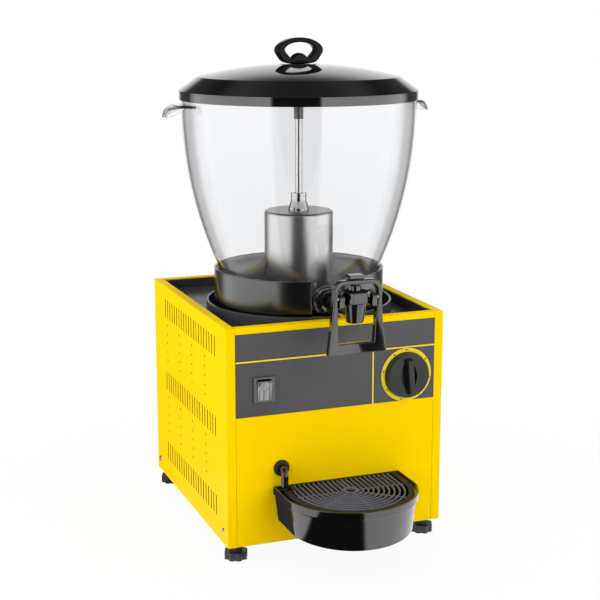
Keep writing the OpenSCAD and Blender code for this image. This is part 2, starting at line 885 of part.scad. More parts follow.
module compressor() {
    foot_z = pan_z + comp_lift;
    dome = 18;
    color([0.06, 0.06, 0.06]) translate([comp_x, comp_y, foot_z]) {
        difference() {
            box([-comp_r - 4, -mount_y - 10, 0], [comp_r + 4, mount_y + 10, comp_plate_t]);
            for (x = [-mount_x, mount_x], y = [-mount_y, mount_y])
                translate([x, y, -cut]) cylinder(r = 4, h = comp_plate_t + 2 * cut);
        }
        translate([0, 0, comp_plate_t]) rotate_extrude() polygon(concat([[0, 0], [comp_r - 12, 0]],
            [for (a = [0:15:90]) [comp_r - dome + dome * cos(a), comp_h - dome + dome * sin(a)]],
            [[0, comp_h]]));
    }
}

// Four rubber grommets between the base pan and the compressor's plate
module compressor_mounts() {
    color([0.1, 0.1, 0.1])
        for (x = [-mount_x, mount_x], y = [-mount_y, mount_y])
            translate([comp_x + x, comp_y + y, pan_z]) {
                cylinder(r = mount_r, h = comp_lift);
                cylinder(r = 4 - press, h = comp_lift + comp_plate_t);
            }
}

// A finned block standing on the base pan
module condenser() {
    fins = 15;
    pitch = (cond_w - 20) / fins;
    color("silver") translate([0, cond_y, pan_z]) difference() {
        box([-cond_w / 2, 0, 0], [cond_w / 2, cond_t, cond_h]);
        for (i = [0:fins - 1])
            translate([-cond_w / 2 + 10 + (i + 0.25) * pitch, -cut, 10])
                cube([pitch / 2, cond_t / 2 + cut, cond_h - 20]);
    }
}

// The fan's motor on an upright strap
module fan_motor() {
    strap_w = 36;
    bore_l = fan_shaft_l + 2;
    color([0.3, 0.3, 0.32]) translate([0, fan_motor_y - fan_motor_h, 0]) difference() {
        union() {
            translate([0, 0, fan_z]) bar_y(fan_motor_r, fan_motor_h);
            box([-strap_w / 2, 4, pan_z], [strap_w / 2, 8, fan_z]);
            box([-strap_w / 2, -10, pan_z], [strap_w / 2, 8, pan_z + 3]);
        }
        translate([0, fan_motor_h - bore_l, fan_z]) bar_y(fan_shaft_r + run, bore_l + cut);
    }
}

// The fan: hub, shaft and pitched blades
module fan_blade() {
    blades = 5;
    color([0.2, 0.2, 0.22]) translate([0, fan_y, fan_z]) rotate([90, 0, 0]) {
        cylinder(r = fan_hub_r, h = fan_hub_h);
        translate([0, 0, fan_hub_h]) cylinder(r = fan_shaft_r, h = fan_shaft_l);
        for (i = [0:blades - 1])
            rotate(i * 360 / blades) translate([0, 0, fan_hub_h / 2]) rotate([25, 0, 0])
                translate([fan_hub_r - fan_blade_root, -fan_blade_w / 2, -fan_blade_t / 2])
                    cube([fan_r - fan_hub_r + fan_blade_root, fan_blade_w, fan_blade_t]);
    }
}

// Copper pipes: compressor to condenser, and condenser up into the cooling cylinder
module refrigerant_pipes() {
    comp_top = pan_z + comp_lift + comp_plate_t + comp_h;
    cond_top = pan_z + cond_h;
    mid_y = cond_y + cond_t / 2;
    up_y = bowl_y + evap_r - evap_wall - press - coil_t / 2;
    color("peru") {
        pipe_run([[comp_x, comp_y, comp_top], [comp_x, comp_y, pipe_z], [comp_x, mid_y, pipe_z],
            [comp_x, mid_y, cond_top]]);
        pipe_run([[suction_x, mid_y, cond_top], [suction_x, mid_y, pipe_z + 15], [0, up_y, pipe_z + 15],
            [0, up_y, coil_z]]);
    }
}

// Straight pipes between points, with a ball at each bend
module pipe_run(points) {
    for (i = [0:len(points) - 2]) {
        way = points[i + 1] - points[i];
        flat = norm([way.x, way.y]);
        translate(points[i]) rotate([0, atan2(flat, way.z), atan2(way.y, way.x)])
            cylinder(r = pipe_r, h = norm(way));
    }
    for (i = [1:len(points) - 2]) translate(points[i]) sphere(r = pipe_r + pipe_braze);
}

// Cooling cylinder and spray pump

// A drawn stainless shell with a base flange, a rounded top and the pump's pin
module cooling_cylinder() {
    inner = evap_r - evap_wall;
    color("silver") translate([0, bowl_y, deck_z]) {
        rotate_extrude() polygon(concat(
            [[inner, 0], [evap_flange_r, 0], [evap_flange_r, evap_flange_t], [evap_r, evap_flange_t]],
            [for (a = [0:15:90]) [evap_r - evap_edge_r + evap_edge_r * cos(a), evap_h - evap_edge_r + evap_edge_r * sin(a)]],
            [[0, evap_h], [0, evap_h - evap_top_t], [inner, evap_h - evap_top_t]]));
        translate([0, 0, evap_h - evap_top_t / 2]) cylinder(r = pump_pin_r, h = pump_pin_h + evap_top_t / 2);
    }
}

// The cooling coil against the inside of the cylinder, as a plain sleeve
module cooling_coil() {
    outer = evap_r - evap_wall - press;
    color("peru") translate([0, bowl_y, coil_z]) ring(outer, outer - coil_t, coil_h);
}

// Rubber sleeve that seals the bowl's base to the cylinder's flange
module bowl_gasket() {
    color([0.08, 0.08, 0.08]) translate([0, bowl_y, deck_z + evap_flange_t])
        ring(gasket_r, evap_r + press, bowl_lift - evap_flange_t);
}

// The pump's motor hung from the cylinder's top on three posts
module pump_motor() {
    motor_top = evap_top - evap_top_t - motor_gap;
    color([0.3, 0.3, 0.32]) translate([0, bowl_y, 0]) difference() {
        union() {
            translate([0, 0, motor_top - motor_h]) cylinder(r = motor_r, h = motor_h);
            for (turn = [0:120:240])
                rotate(turn) translate([motor_r - post_r - 1, 0, motor_top - 5])
                    cylinder(r = post_r, h = motor_gap + 5);
        }
        translate([0, 0, motor_top - 15]) cylinder(r = rotor_shaft_r + run, h = 15 + cut);
    }
}

// The magnet wheel on the motor's shaft, just under the cylinder's top
module drive_rotor() {
    motor_top = evap_top - evap_top_t - motor_gap;
    color("dimgray") translate([0, bowl_y, motor_top]) {
        translate([0, 0, -rotor_shaft_in]) cylinder(r = rotor_shaft_r, h = rotor_shaft_len);
        difference() {
            translate([0, 0, motor_gap - 3 - rotor_t]) cylinder(r = rotor_r, h = rotor_t);
            for (turn = [0:90:270])
                rotate(turn) translate([rotor_r * 0.62, 0, motor_gap - 4.5]) cylinder(r = 3, h = 3);
        }
    }
}

// The pump's bell: a hollow waisted cap with inlet ports and a socket for the tube
module pump_bell() {
    socket_z = bell_h - nozzle_grip;
    mouth_r = bell_r - bell_wall;
    color("silver") translate([0, bowl_y, evap_top]) difference() {
        rotate_extrude() polygon([[mouth_r, 0], [bell_r, 0], [bell_r, 2.5], [bell_r - 1.1, 5.5],
            [bell_neck_r, bell_h - 9], [bell_neck_r, bell_h - 4], [bell_neck_r + 0.4, bell_h - 2],
            [bell_neck_r + 0.4, bell_h], [spray_r + press, bell_h], [spray_r + press, socket_z],
            [spray_r - tube_wall, socket_z], [spray_r - tube_wall, socket_z - 1.5], [mouth_r, 4.5]]);
        for (turn = [45:90:315])
            rotate(turn) translate([mouth_r - 2, 0, 2]) bar_x(1.3, bell_wall + 4);
    }
}

// The pump's wheel with four vanes, on the pin of the cylinder
module impeller() {
    color([0.85, 0.85, 0.85]) translate([0, bowl_y, evap_top + impeller_gap]) difference() {
        union() {
            cylinder(r = impeller_r, h = 2);
            cylinder(r = 3.2, h = 5);
            for (turn = [0:90:270])
                rotate(turn) translate([2, -0.6, 1]) cube([4.6, 1.2, 3]);
        }
        translate([0, 0, -cut]) cylinder(r = pump_pin_r + run, h = 5 + 2 * cut);
    }
}

module spray_tube() {
    color("silver") translate([0, bowl_y, evap_top + bell_h - nozzle_grip])
        ring(spray_r, spray_r - tube_wall, spray_h - bell_h + nozzle_grip);
}

// The cap on the tube, with side holes that throw the drink against the lid
module spray_head() {
    grip_z = evap_top + spray_h - nozzle_grip;
    color([0.55, 0.55, 0.57]) translate([0, bowl_y, grip_z]) difference() {
        cylinder(r = nozzle_r, h = nozzle_h);
        translate([0, 0, -cut]) cylinder(r = spray_r + press, h = nozzle_grip + cut);
        cylinder(r = spray_r - tube_wall, h = nozzle_h - 3);
        for (turn = [0:90:270])
            rotate(turn) translate([0, 0, nozzle_h - 5]) bar_x(1.2, nozzle_r + cut);
    }
}

// Bowl

// Outer radius of the bowl at a height over its base, above the collar's edge
function bowl_side(h) = bowl_r - (bowl_r - bowl_neck_r)
    * pow((bowl_h - h) / (bowl_h - neck_h), bowl_curve);
neck_h = collar_top - bowl_z;

// Height of one step of the flared wall
function wall_h(i) = neck_h + (bowl_h - neck_h) * i / bowl_steps;

// Outer points of the flared wall between two of its steps
function wall_points(from, to) = [for (i = [from:to]) [bowl_side(wall_h(i)), wall_h(i)]];

// Outline of the rounded base up to the collar's edge, drawn in by the wall
function base_outline(wall, floor_h) = concat(
    [for (i = [0:base_steps - 1]) let (a = 90 - i * 90 / base_steps)
        [bowl_sole_r - wall + (bowl_neck_r - bowl_sole_r) * cos(a), neck_h - (neck_h - floor_h) * sin(a)]],
    [[bowl_neck_r - wall, neck_h]]);

// A ring of the flared wall between two of its steps
module wall_ring(from, to) {
    rotate_extrude() polygon(concat(wall_points(from, to),
        [for (i = [to:-1:from]) [bowl_side(wall_h(i)) - bowl_wall, wall_h(i)]]));
}

// One lifting ear: a shelf that curls down away from the rim
module bowl_ear() {
    curl_r = ear_drop;
    top = bowl_h - 6.5;
    centre = bowl_r + ear_out - curl_r;
    rotate([90, 0, 0]) linear_extrude(ear_w, center = true) {
        intersection() {
            translate([centre, top - curl_r]) difference() {
                circle(r = curl_r);
                circle(r = curl_r - ear_t);
            }
            translate([centre, top - curl_r]) square(curl_r);
        }
        translate([bowl_r - ear_root, top - ear_t]) square([centre - bowl_r + ear_root, ear_t]);
    }
}

// The outlet boss's outline, a rounded oblong drawn in by a margin
module boss_outline(margin) {
    side = boss_w - boss_h;
    for (x = [-side, side]) translate([x, 0]) circle(r = boss_h - margin);
    square([2 * side, 2 * (boss_h - margin)], center = true);
}

// The clear bowl's wall from its middle up to the rim
module bowl() {
    color([0.85, 0.9, 0.92, 0.35]) translate([0, bowl_y, bowl_z]) wall_ring(split_step, bowl_steps);
}

// The wall from the collar's edge up to its middle
module bowl_lower() {
    color([0.85, 0.9, 0.92, 0.35]) translate([0, bowl_y, bowl_z]) wall_ring(0, split_step);
}

// The bowl's rounded base: a floor with the cylinder's hole, and the outlet boss
module bowl_base() {
    color([0.85, 0.9, 0.92, 0.35]) translate([0, bowl_y, bowl_z]) difference() {
        union() {
            rotate_extrude() polygon(concat([[0, 0]], base_outline(0, 0), [[0, neck_h]]));
            translate([0, -boss_reach, boss_h]) rotate([-90, 0, 0])
                linear_extrude(boss_reach - bowl_sole_r) boss_outline(0);
        }
        rotate_extrude() polygon(concat([[0, bowl_floor_t]], base_outline(bowl_wall, bowl_floor_t),
            [[bowl_neck_r - bowl_wall, neck_h + cut], [0, neck_h + cut]]));
        translate([0, 0, -cut]) cylinder(r = bowl_hole_r, h = bowl_floor_t + 2 * cut);
        translate([0, -boss_reach - cut, boss_h]) rotate([-90, 0, 0])
            linear_extrude(boss_pocket + cut) boss_outline(boss_rim);
        translate([0, -boss_reach, boss_h]) bar_y(shank_r + press, boss_reach - bowl_sole_r + 12);
    }
}

// The two lifting ears below the rim
module bowl_ears() {
    color([0.85, 0.9, 0.92, 0.35]) translate([0, bowl_y, bowl_z]) difference() {
        both_sides() bowl_ear();
        rotate_extrude() polygon(concat([[0, wall_h(split_step)]], wall_points(split_step, bowl_steps),
            [[0, bowl_h]]));
    }
}

// Tap

// The rubber washer that fills the boss's pocket
module tap_washer() {
    color([0.1, 0.1, 0.1]) translate([0, pocket_y, tap_z]) rotate([90, 0, 0])
        linear_extrude(washer_t) difference() {
            boss_outline(boss_rim + washer_fit);
            circle(r = shank_r + press);
        }
}

// The ribbed nut that pulls the tap against the boss
module tap_nut() {
    ribs = 14;
    color([0.06, 0.06, 0.06]) translate([0, pocket_y - washer_t, tap_z]) rotate([90, 0, 0])
        linear_extrude(nut_t) difference() {
            union() {
                circle(r = nut_r);
                for (i = [0:ribs - 1]) rotate(i * 360 / ribs) translate([nut_r, 0]) circle(r = 0.9);
            }
            circle(r = shank_r + press);
        }
}

// The tap: shank, barrel, upright valve chamber, nozzle, and a cross arm with two ears for the lever
module tap_body() {
    barrel_y = pocket_y - washer_t - nut_t;
    flange_z = flange_up - flange_t;
    color([0.04, 0.04, 0.04]) difference() {
        union() {
            translate([0, tap_y, tap_z]) bar_y(barrel_r, barrel_y - tap_y);
            translate([0, tap_y, tap_z]) bar_y(shank_r, pocket_y + shank_in - tap_y);
            translate([0, tap_y, tap_z - nozzle_drop])
                cylinder(r1 = nozzle_tip_r, r2 = head_r, h = nozzle_drop + flange_up);
            box([-ear_in - ear_plate, tap_y - arm_half_d, tap_z + flange_z],
                [ear_in + ear_plate, tap_y + arm_half_d, tap_z + flange_up]);
            both_sides() {
                translate([ear_in, pivot_y, pivot_z]) bar_x(ear_round, ear_plate);
                box([ear_in, pivot_y - ear_round, tap_z + flange_z],
                    [ear_in + ear_plate, pivot_y + ear_round, pivot_z]);
            }
        }
        translate([0, tap_y, tap_z + seat_up]) cylinder(r = chamber_r, h = flange_up - seat_up + cut);
        translate([0, tap_y, tap_z - nozzle_drop - cut]) cylinder(r = chamber_r - 2.3, h = nozzle_drop + 2 * cut);
        translate([0, tap_y, tap_z]) bar_y(tap_bore_r, pocket_y + shank_in - tap_y + cut);
        translate([-ear_in - ear_plate - cut, pivot_y, pivot_z]) bar_x(pin_r + press, 2 * (ear_in + ear_plate + cut));
    }
}

// The hexagonal bonnet that closes the chamber and guides the stem
module tap_bonnet() {
    color([0.05, 0.05, 0.05]) translate([0, tap_y, tap_z + flange_up]) difference() {
        cylinder(r = hex_r, h = hex_h, $fn = 6);
        translate([0, 0, -cut]) cylinder(r = chamber_r, h = hex_h - hex_roof + cut);
        cylinder(r = stem_r + run, h = hex_h + cut);
    }
}

// The plunger: valve head, stem and the cap that the lever lifts
module tap_plunger() {
    head_up = seat_up + seal_t;
    color([0.05, 0.05, 0.05]) translate([0, tap_y, tap_z]) {
        translate([0, 0, head_up]) cylinder(r = seal_r - 0.4, h = plunger_head_t);
        translate([0, 0, head_up]) cylinder(r = stem_r, h = cap_rise - head_up + cap_h / 2);
        box([-cap_half_w, -cap_half_d, cap_rise], [cap_half_w, cap_half_d, cap_rise + cap_h]);
    }
}

// The rubber disc that closes on the seat
module tap_seal() {
    color("firebrick") translate([0, tap_y, tap_z + seat_up]) cylinder(r = seal_r, h = seal_t);
}

// The spring that pushes the plunger down, as one tube along a helix
module tap_spring() {
    low = tap_z + seat_up + seal_t + plunger_head_t + spring_wire_r + 0.3;
    high = tap_z + flange_up + hex_h - hex_roof - spring_wire_r - 0.3;
    steps = spring_turns * spring_steps;
    sides = spring_sides;
    points = [for (i = [0:steps], k = [0:sides - 1])
        let (turn = i * 360 / spring_steps, around = k * 360 / sides,
            r = spring_r + spring_wire_r * cos(around))
        [r * cos(turn), r * sin(turn), low + (high - low) * i / steps + spring_wire_r * sin(around)]];
    walls = [for (i = [0:steps - 1], k = [0:sides - 1], half = [0, 1])
        let (a = i * sides + k, b = i * sides + (k + 1) % sides)
        half == 0 ? [a, a + sides, b] : [b, a + sides, b + sides]];
    ends = [for (k = [1:sides - 2], half = [0, 1])
        half == 0 ? [0, k, k + 1] : [steps * sides, steps * sides + k + 1, steps * sides + k]];
    color("silver") translate([0, tap_y, 0]) polyhedron(points, concat(walls, ends));
}

// Two short pins between the tap's ears and the lever's legs
module lever_pins() {
    color("silver") both_sides()
        translate([ear_in - 0.5, pivot_y, pivot_z]) bar_x(pin_r, pin_end - ear_in + 0.5);
}

// The lever's outline seen from the front: a flared frame with an arched head
module lever_outline() {
    round_r = lever_corner_r;
    shoulder = lever_top - round_r;
    window_top = lever_top - lever_arch_t;
    window_low = lever_low + lever_bar_h;
    difference() {
        union() {
            polygon([[-lever_foot_w, lever_low], [lever_foot_w, lever_low],
                [lever_top_w, shoulder], [-lever_top_w, shoulder]]);
            for (side = [-1, 1])
                translate([side * (lever_top_w - round_r), shoulder]) circle(r = round_r);
            translate([-lever_top_w + round_r, shoulder])
                square([2 * (lever_top_w - round_r), round_r]);
        }
        translate([-lever_window_w, window_low])
            square([2 * lever_window_w, window_top - round_r - window_low]);
        translate([-lever_window_w + round_r, window_low])
            square([2 * (lever_window_w - round_r), window_top - window_low]);
        for (side = [-1, 1])
            translate([side * (lever_window_w - round_r), window_top - round_r]) circle(r = round_r);
    }
}

// The push-back lever: frame, slot for the stem and two prongs under the cap
module tap_lever() {
    slot_front = tap_y - stem_r - 1.8;
    color([0.04, 0.04, 0.04]) difference() {
        union() {
            translate([0, lever_y + lever_t / 2, 0]) rotate([90, 0, 0]) linear_extrude(lever_t) lever_outline();
            both_sides() box([prong_in, pivot_y, lever_top - prong_t],
                [prong_in + prong_w, pivot_y + prong_reach, lever_top]);
        }
        box([-prong_in, slot_front, lever_top - lever_arch_t - cut], [prong_in, tap_y + lever_t, lever_top + cut]);
        translate([-pin_end - fit, pivot_y, pivot_z]) bar_x(pin_r + run, 2 * (pin_end + fit));
    }
}

// Lid

// Height of the dome's outer face at a radius, over the lid's lower edge
function dome_h(r) = lid_band_h + lid_slope_h + lid_dome_h - lid_dome_r + sqrt(pow(lid_dome_r, 2) - pow(r, 2));

// The lid's dome, with the pad that the handle stands on
module lid() {
    pad_r = 23;
    pad_t = 2;
    screw_room = 12;
    color([0.04, 0.04, 0.04]) translate([0, bowl_y, lid_z]) difference() {
        union() {
            rotate_extrude() polygon(concat(
                [for (s = [1:-0.25:0]) [lid_shoulder_r * s, dome_h(lid_shoulder_r * s)]],
                [for (s = [0:0.25:1]) [(lid_shoulder_r - lid_t) * s, dome_h(lid_shoulder_r * s) - lid_t]]));
            translate([0, 0, lid_apex - lid_z - pad_t]) cylinder(r = pad_r, h = pad_t);
        }
        translate([0, 0, lid_apex - lid_z - screw_room]) {
            cylinder(r = handle_screw_r + press, h = screw_room + cut);
            cylinder(r = handle_screw_r + 4, h = screw_room - lid_t);
        }
    }
}

// The lid's slope and upright band, with a ledge that rests on the bowl's rim
module lid_skirt() {
    inner = bowl_r + 2 * fit;
    ledge_r = inner - lid_ledge;
    slope_in = lid_band_h + lid_slope_h * (lid_r - ledge_r) / lid_slope_w - lid_t * 1.4;
    shoulder_h = dome_h(lid_shoulder_r);
    color([0.04, 0.04, 0.04]) translate([0, bowl_y, lid_z]) rotate_extrude() polygon([
        [inner, 0], [lid_r, 0], [lid_r, lid_band_h], [lid_shoulder_r, shoulder_h],
        [lid_shoulder_r - lid_t, shoulder_h - lid_t], [ledge_r, slope_in], [ledge_r, lid_lap],
        [inner, lid_lap]]);
}

// The handle's closed loop seen from the front, standing on Y = 0
module handle_outline(half_w, low_h, high_h) {
    polygon([for (a = [0:10:350]) [half_w * cos(a), handle_waist + (sin(a) > 0 ? high_h : low_h) * sin(a)]]);
}

module lid_handle() {
    top_t = 6;
    color([0.04, 0.04, 0.04]) translate([0, bowl_y + handle_t / 2, lid_apex]) rotate([90, 0, 0]) difference() {
        linear_extrude(handle_t) intersection() {
            difference() {
                handle_outline(handle_w, handle_waist * 1.18, handle_h - handle_waist);
                difference() {
                    handle_outline(handle_w - handle_grip, handle_waist, handle_h - handle_waist - top_t);
                    translate([-handle_w, -cut]) square([2 * handle_w, handle_bar_h + cut]);
                }
            }
            translate([-handle_w, 0]) square([2 * handle_w, handle_h]);
        }
        translate([0, -cut, handle_t / 2]) bar_y(handle_screw_r + press, handle_bar_h + 2 * cut);
    }
}

// The domed button over the handle's screw
module handle_button() {
    ball_r = (pow(button_r, 2) + pow(button_h, 2)) / (2 * button_h);
    color([0.04, 0.04, 0.04]) translate([0, bowl_y, lid_apex + handle_bar_h]) difference() {
        intersection() {
            translate([0, 0, button_h - ball_r]) sphere(r = ball_r);
            cylinder(r = button_r + cut, h = button_h + cut);
            box([-button_r, -handle_t / 2, 0], [button_r, handle_t / 2, button_h + cut]);
        }
        translate([0, 0, -cut]) cylinder(r = handle_screw_r + press, h = 5 + cut);
    }
}

// The screw from inside the lid through the handle into the button
module handle_screw() {
    head_z = lid_apex - lid_t;
    color("silver") translate([0, bowl_y, 0]) {
        translate([0, 0, head_z - 3]) cylinder(r = 6, h = 3);
        translate([0, 0, head_z - 1]) cylinder(r = handle_screw_r, h = lid_t + handle_bar_h + 5);
    }
}

base_pan();
left_side_panel();
right_side_panel();
front_panel();
rear_panel();
top_deck();
bowl_collar();
seat_liner();
control_plate();
switch_frame();
switch_rocker();
thermostat_body();
thermostat_nut();
thermostat_shaft();
thermostat_knob();
drain_grommet();
drain_elbow();
tray_bracket();
drip_tray();
drip_grille();
foot_front_left();
foot_front_right();
foot_rear_left();
foot_rear_right();
cord_gland();
panel_screws();
compressor();
compressor_mounts();
condenser();
fan_motor();
fan_blade();
refrigerant_pipes();
cooling_cylinder();
cooling_coil();
bowl_gasket();
pump_motor();
drive_rotor();
pump_bell();
impeller();
spray_tube();
spray_head();
bowl();
bowl_lower();
bowl_base();
bowl_ears();
tap_washer();
tap_nut();
tap_body();
tap_bonnet();
tap_plunger();
tap_seal();
tap_spring();
lever_pins();
tap_lever();
lid();
lid_skirt();
lid_handle();
handle_button();
handle_screw();
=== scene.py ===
import json
import math

import bmesh
import bpy
from mathutils import Matrix, Vector


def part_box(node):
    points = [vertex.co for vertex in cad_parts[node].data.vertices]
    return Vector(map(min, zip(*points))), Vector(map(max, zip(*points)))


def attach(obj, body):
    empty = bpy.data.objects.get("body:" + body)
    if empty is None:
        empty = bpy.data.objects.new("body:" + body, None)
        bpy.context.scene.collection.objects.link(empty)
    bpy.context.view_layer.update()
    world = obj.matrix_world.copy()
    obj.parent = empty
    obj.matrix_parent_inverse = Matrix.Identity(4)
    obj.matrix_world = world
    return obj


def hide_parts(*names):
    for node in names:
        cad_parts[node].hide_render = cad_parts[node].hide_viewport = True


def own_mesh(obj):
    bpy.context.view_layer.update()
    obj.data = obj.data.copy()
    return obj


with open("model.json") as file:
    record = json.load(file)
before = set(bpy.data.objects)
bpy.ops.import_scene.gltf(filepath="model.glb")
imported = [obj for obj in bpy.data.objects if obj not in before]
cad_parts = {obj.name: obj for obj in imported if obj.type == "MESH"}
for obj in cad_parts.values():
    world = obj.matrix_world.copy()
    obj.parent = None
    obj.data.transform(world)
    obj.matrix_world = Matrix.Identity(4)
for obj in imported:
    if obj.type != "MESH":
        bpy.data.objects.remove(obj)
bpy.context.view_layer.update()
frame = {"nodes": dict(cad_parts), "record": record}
scene = bpy.context.scene
scene.view_settings.view_transform = "Standard"

# Studio
# Bright white walls and floor all round, with a dark gap where the camera stands, and
# large soft boxes for the daylight. None of it is the dispenser's.
EYE = (-0.5986, -1.5477, 0.6561)
EYE_TURN = -20.846
EYE_DIP = 12.323
EYE_LENS = 80.92
ROOM_RADIUS = 9.0
ROOM_FILL = 0.34
WALL_LEVEL = 1.4
BACKDROP_WAY = (0.356, 0.934, 0.0)
BACKDROP_EDGE = 0.86
BACKDROP_CORE = 0.95
SHADE_EDGE = 0.35
SHADE_CORE = 0.62
SHADE_LEVEL = 0.12
GAP_WAY = (-0.391, -0.921, 0.0)
GAP_EDGE = 0.905
GAP_CORE = 0.935
GAP_LEVEL = 0.015
ROOF_HEIGHT = 1.05
ROOF_LEVEL = 0.03
FLOOR_WHITE = 0.9
FLOOR_GLOW = 0.93
FLOOR_NEAR = 1.3
FLOOR_FAR = 1.8
FLOOR_NEAR_REACH = 0.6
FLOOR_FAR_REACH = 2.4
FLOOR_GLOW_REACH = 0.25
FLOOR_FADE_REACH = 0.7

camera = bpy.data.objects.new("studio_camera", bpy.data.cameras.new("studio_camera"))
camera.data.sensor_width = 36.0
camera.data.lens = EYE_LENS
camera.location = EYE
camera.rotation_euler = (math.radians(90.0 - EYE_DIP), 0.0, math.radians(EYE_TURN))
scene.collection.objects.link(camera)
scene.camera = camera


def soft_box(name, place, aim, width, height, watts):
    lamp = bpy.data.lights.new(name, "AREA")
    lamp.shape = "RECTANGLE"
    lamp.size = width
    lamp.size_y = height
    lamp.energy = watts
    lamp_object = bpy.data.objects.new(name, lamp)
    lamp_object.location = place
    aim_line = Vector(aim) - Vector(place)
    lamp_object.rotation_euler = aim_line.to_track_quat("-Z", "Y").to_euler()
    lamp_object.visible_glossy = False
    lamp_object.visible_transmission = False
    scene.collection.objects.link(lamp_object)


soft_box("soft_box_left", (-1.88, -0.26, 1.05), (0.0, 0.0, 0.55), 2.7, 2.0, 36.0)
soft_box("soft_box_right", (1.17, -1.50, 1.05), (0.0, 0.0, 0.55), 2.5, 2.0, 30.0)
soft_box("soft_box_top", (0.0, -0.1, 2.2), (0.0, 0.0, 0.3), 1.2, 1.2, 12.0)
soft_box("soft_box_back", (0.7, 2.0, 1.0), (0.0, 0.0, 0.35), 2.0, 1.6, 14.0)


def feed(tree, socket, value):
    if isinstance(value, float):
        socket.default_value = value
    else:
        tree.links.new(value, socket)


def blend_value(tree, low, high, share):
    mix = tree.nodes.new("ShaderNodeMix")
    mix.data_type = "FLOAT"
    feed(tree, mix.inputs[0], share)
    feed(tree, mix.inputs[2], low)
    feed(tree, mix.inputs[3], high)
    return mix.outputs[0]


def worked_out(tree, operation, one, two):
    step = tree.nodes.new("ShaderNodeMath")
    step.operation = operation
    feed(tree, step.inputs[0], one)
    feed(tree, step.inputs[1], two)
    return step.outputs[0]


def vector_step(tree, operation, way):
    step = tree.nodes.new("ShaderNodeVectorMath")
    step.operation = operation
    tree.links.new(way, step.inputs[0])
    return step


def towards(tree, way, aim):
    dot = vector_step(tree, "DOT_PRODUCT", way)
    dot.inputs[1].default_value = aim
    return dot.outputs["Value"]


def eased(tree, value, start, end, low, high):
    ease = tree.nodes.new("ShaderNodeMapRange")
    ease.interpolation_type = "SMOOTHSTEP"
    ease.inputs["From Min"].default_value = start
    ease.inputs["From Max"].default_value = end
    ease.inputs["To Min"].default_value = low
    ease.inputs["To Max"].default_value = high
    tree.links.new(value, ease.inputs["Value"])
    return ease.outputs["Result"]


def all_round(tree, way, sides):
    facing_back = towards(tree, way, BACKDROP_WAY)
    shade = eased(tree, facing_back, SHADE_EDGE, SHADE_CORE, 0.0, 1.0)
    back = eased(tree, facing_back, BACKDROP_EDGE, BACKDROP_CORE, 0.0, 1.0)
    gap = eased(tree, towards(tree, way, GAP_WAY), GAP_EDGE, GAP_CORE, 1.0, GAP_LEVEL)
    level = blend_value(tree, blend_value(tree, sides, SHADE_LEVEL, shade), 1.0, back)
    return worked_out(tree, "MULTIPLY", level, gap)


def mirrored_share(tree, path):
    bounced = worked_out(tree, "MINIMUM", path.outputs["Glossy Depth"], 1.0)
    return worked_out(tree, "SUBTRACT", bounced, path.outputs["Is Diffuse Ray"])


room = bpy.data.worlds.new("studio_room")
scene.world = room
room.use_nodes = True
room_tree = room.node_tree
room_path = room_tree.nodes.new("ShaderNodeLightPath")
room_way = room_tree.nodes.new("ShaderNodeTexCoord").outputs["Generated"]
roof = eased(room_tree, towards(room_tree, room_way, (0.0, 0.0, 1.0)), 0.0, ROOF_HEIGHT, 1.0, ROOF_LEVEL)
mirror_level = worked_out(room_tree, "MULTIPLY", all_round(room_tree, room_way, WALL_LEVEL), roof)
room_plain = blend_value(room_tree, ROOM_FILL, 1.0, room_path.outputs["Is Transmission Ray"])
room_inside = blend_value(room_tree, room_plain, mirror_level, mirrored_share(room_tree, room_path))
room_level = blend_value(room_tree, room_inside, 1.0, room_path.outputs["Is Camera Ray"])
room_light = room_tree.nodes["Background"]
room_light.inputs["Color"].default_value = (1.0, 1.0, 1.0, 1.0)
room_tree.links.new(room_level, room_light.inputs["Strength"])

floor_mesh = bpy.data.meshes.new("studio_floor")
floor_bm = bmesh.new()
bmesh.ops.create_circle(floor_bm, cap_ends=True, segments=64, radius=ROOM_RADIUS)
floor_bm.to_mesh(floor_mesh)
floor_bm.free()
floor = bpy.data.objects.new("studio_floor", floor_mesh)
scene.collection.objects.link(floor)
floor_white = bpy.data.materials.new("studio_floor_white")
floor_white.use_nodes = True
floor_tree = floor_white.node_tree
floor_shader = floor_tree.nodes["Principled BSDF"]
floor_shader.inputs["Base Color"].default_value = (FLOOR_WHITE, FLOOR_WHITE, FLOOR_WHITE, 1.0)
floor_shader.inputs["Roughness"].default_value = 0.9
floor_place = floor_tree.nodes.new("ShaderNodeTexCoord").outputs["Object"]
floor_reach = vector_step(floor_tree, "LENGTH", floor_place).outputs["Value"]
floor_way = vector_step(floor_tree, "NORMALIZE", floor_place).outputs["Vector"]
floor_sides = eased(floor_tree, floor_reach, FLOOR_NEAR_REACH, FLOOR_FAR_REACH, FLOOR_NEAR, FLOOR_FAR)
floor_around = all_round(floor_tree, floor_way, floor_sides)
floor_path = floor_tree.nodes.new("ShaderNodeLightPath")
floor_mirrored = mirrored_share(floor_tree, floor_path)
floor_fade = eased(floor_tree, floor_reach, FLOOR_GLOW_REACH, FLOOR_FADE_REACH, FLOOR_GLOW, 1.0)
floor_seen = worked_out(floor_tree, "MULTIPLY", floor_path.outputs["Is Camera Ray"], floor_fade)
floor_clear = floor_path.outputs["Is Transmission Ray"]
floor_through = worked_out(floor_tree, "MAXIMUM", floor_clear, floor_mirrored)
floor_share = worked_out(floor_tree, "MAXIMUM", floor_seen, floor_through)
floor_level = blend_value(floor_tree, 1.0, floor_around, floor_mirrored)
floor_glow = floor_tree.nodes.new("ShaderNodeEmission")
floor_tree.links.new(floor_level, floor_glow.inputs["Strength"])
floor_mix = floor_tree.nodes.new("ShaderNodeMixShader")
floor_tree.links.new(floor_share, floor_mix.inputs["Fac"])
floor_tree.links.new(floor_shader.outputs["BSDF"], floor_mix.inputs[1])
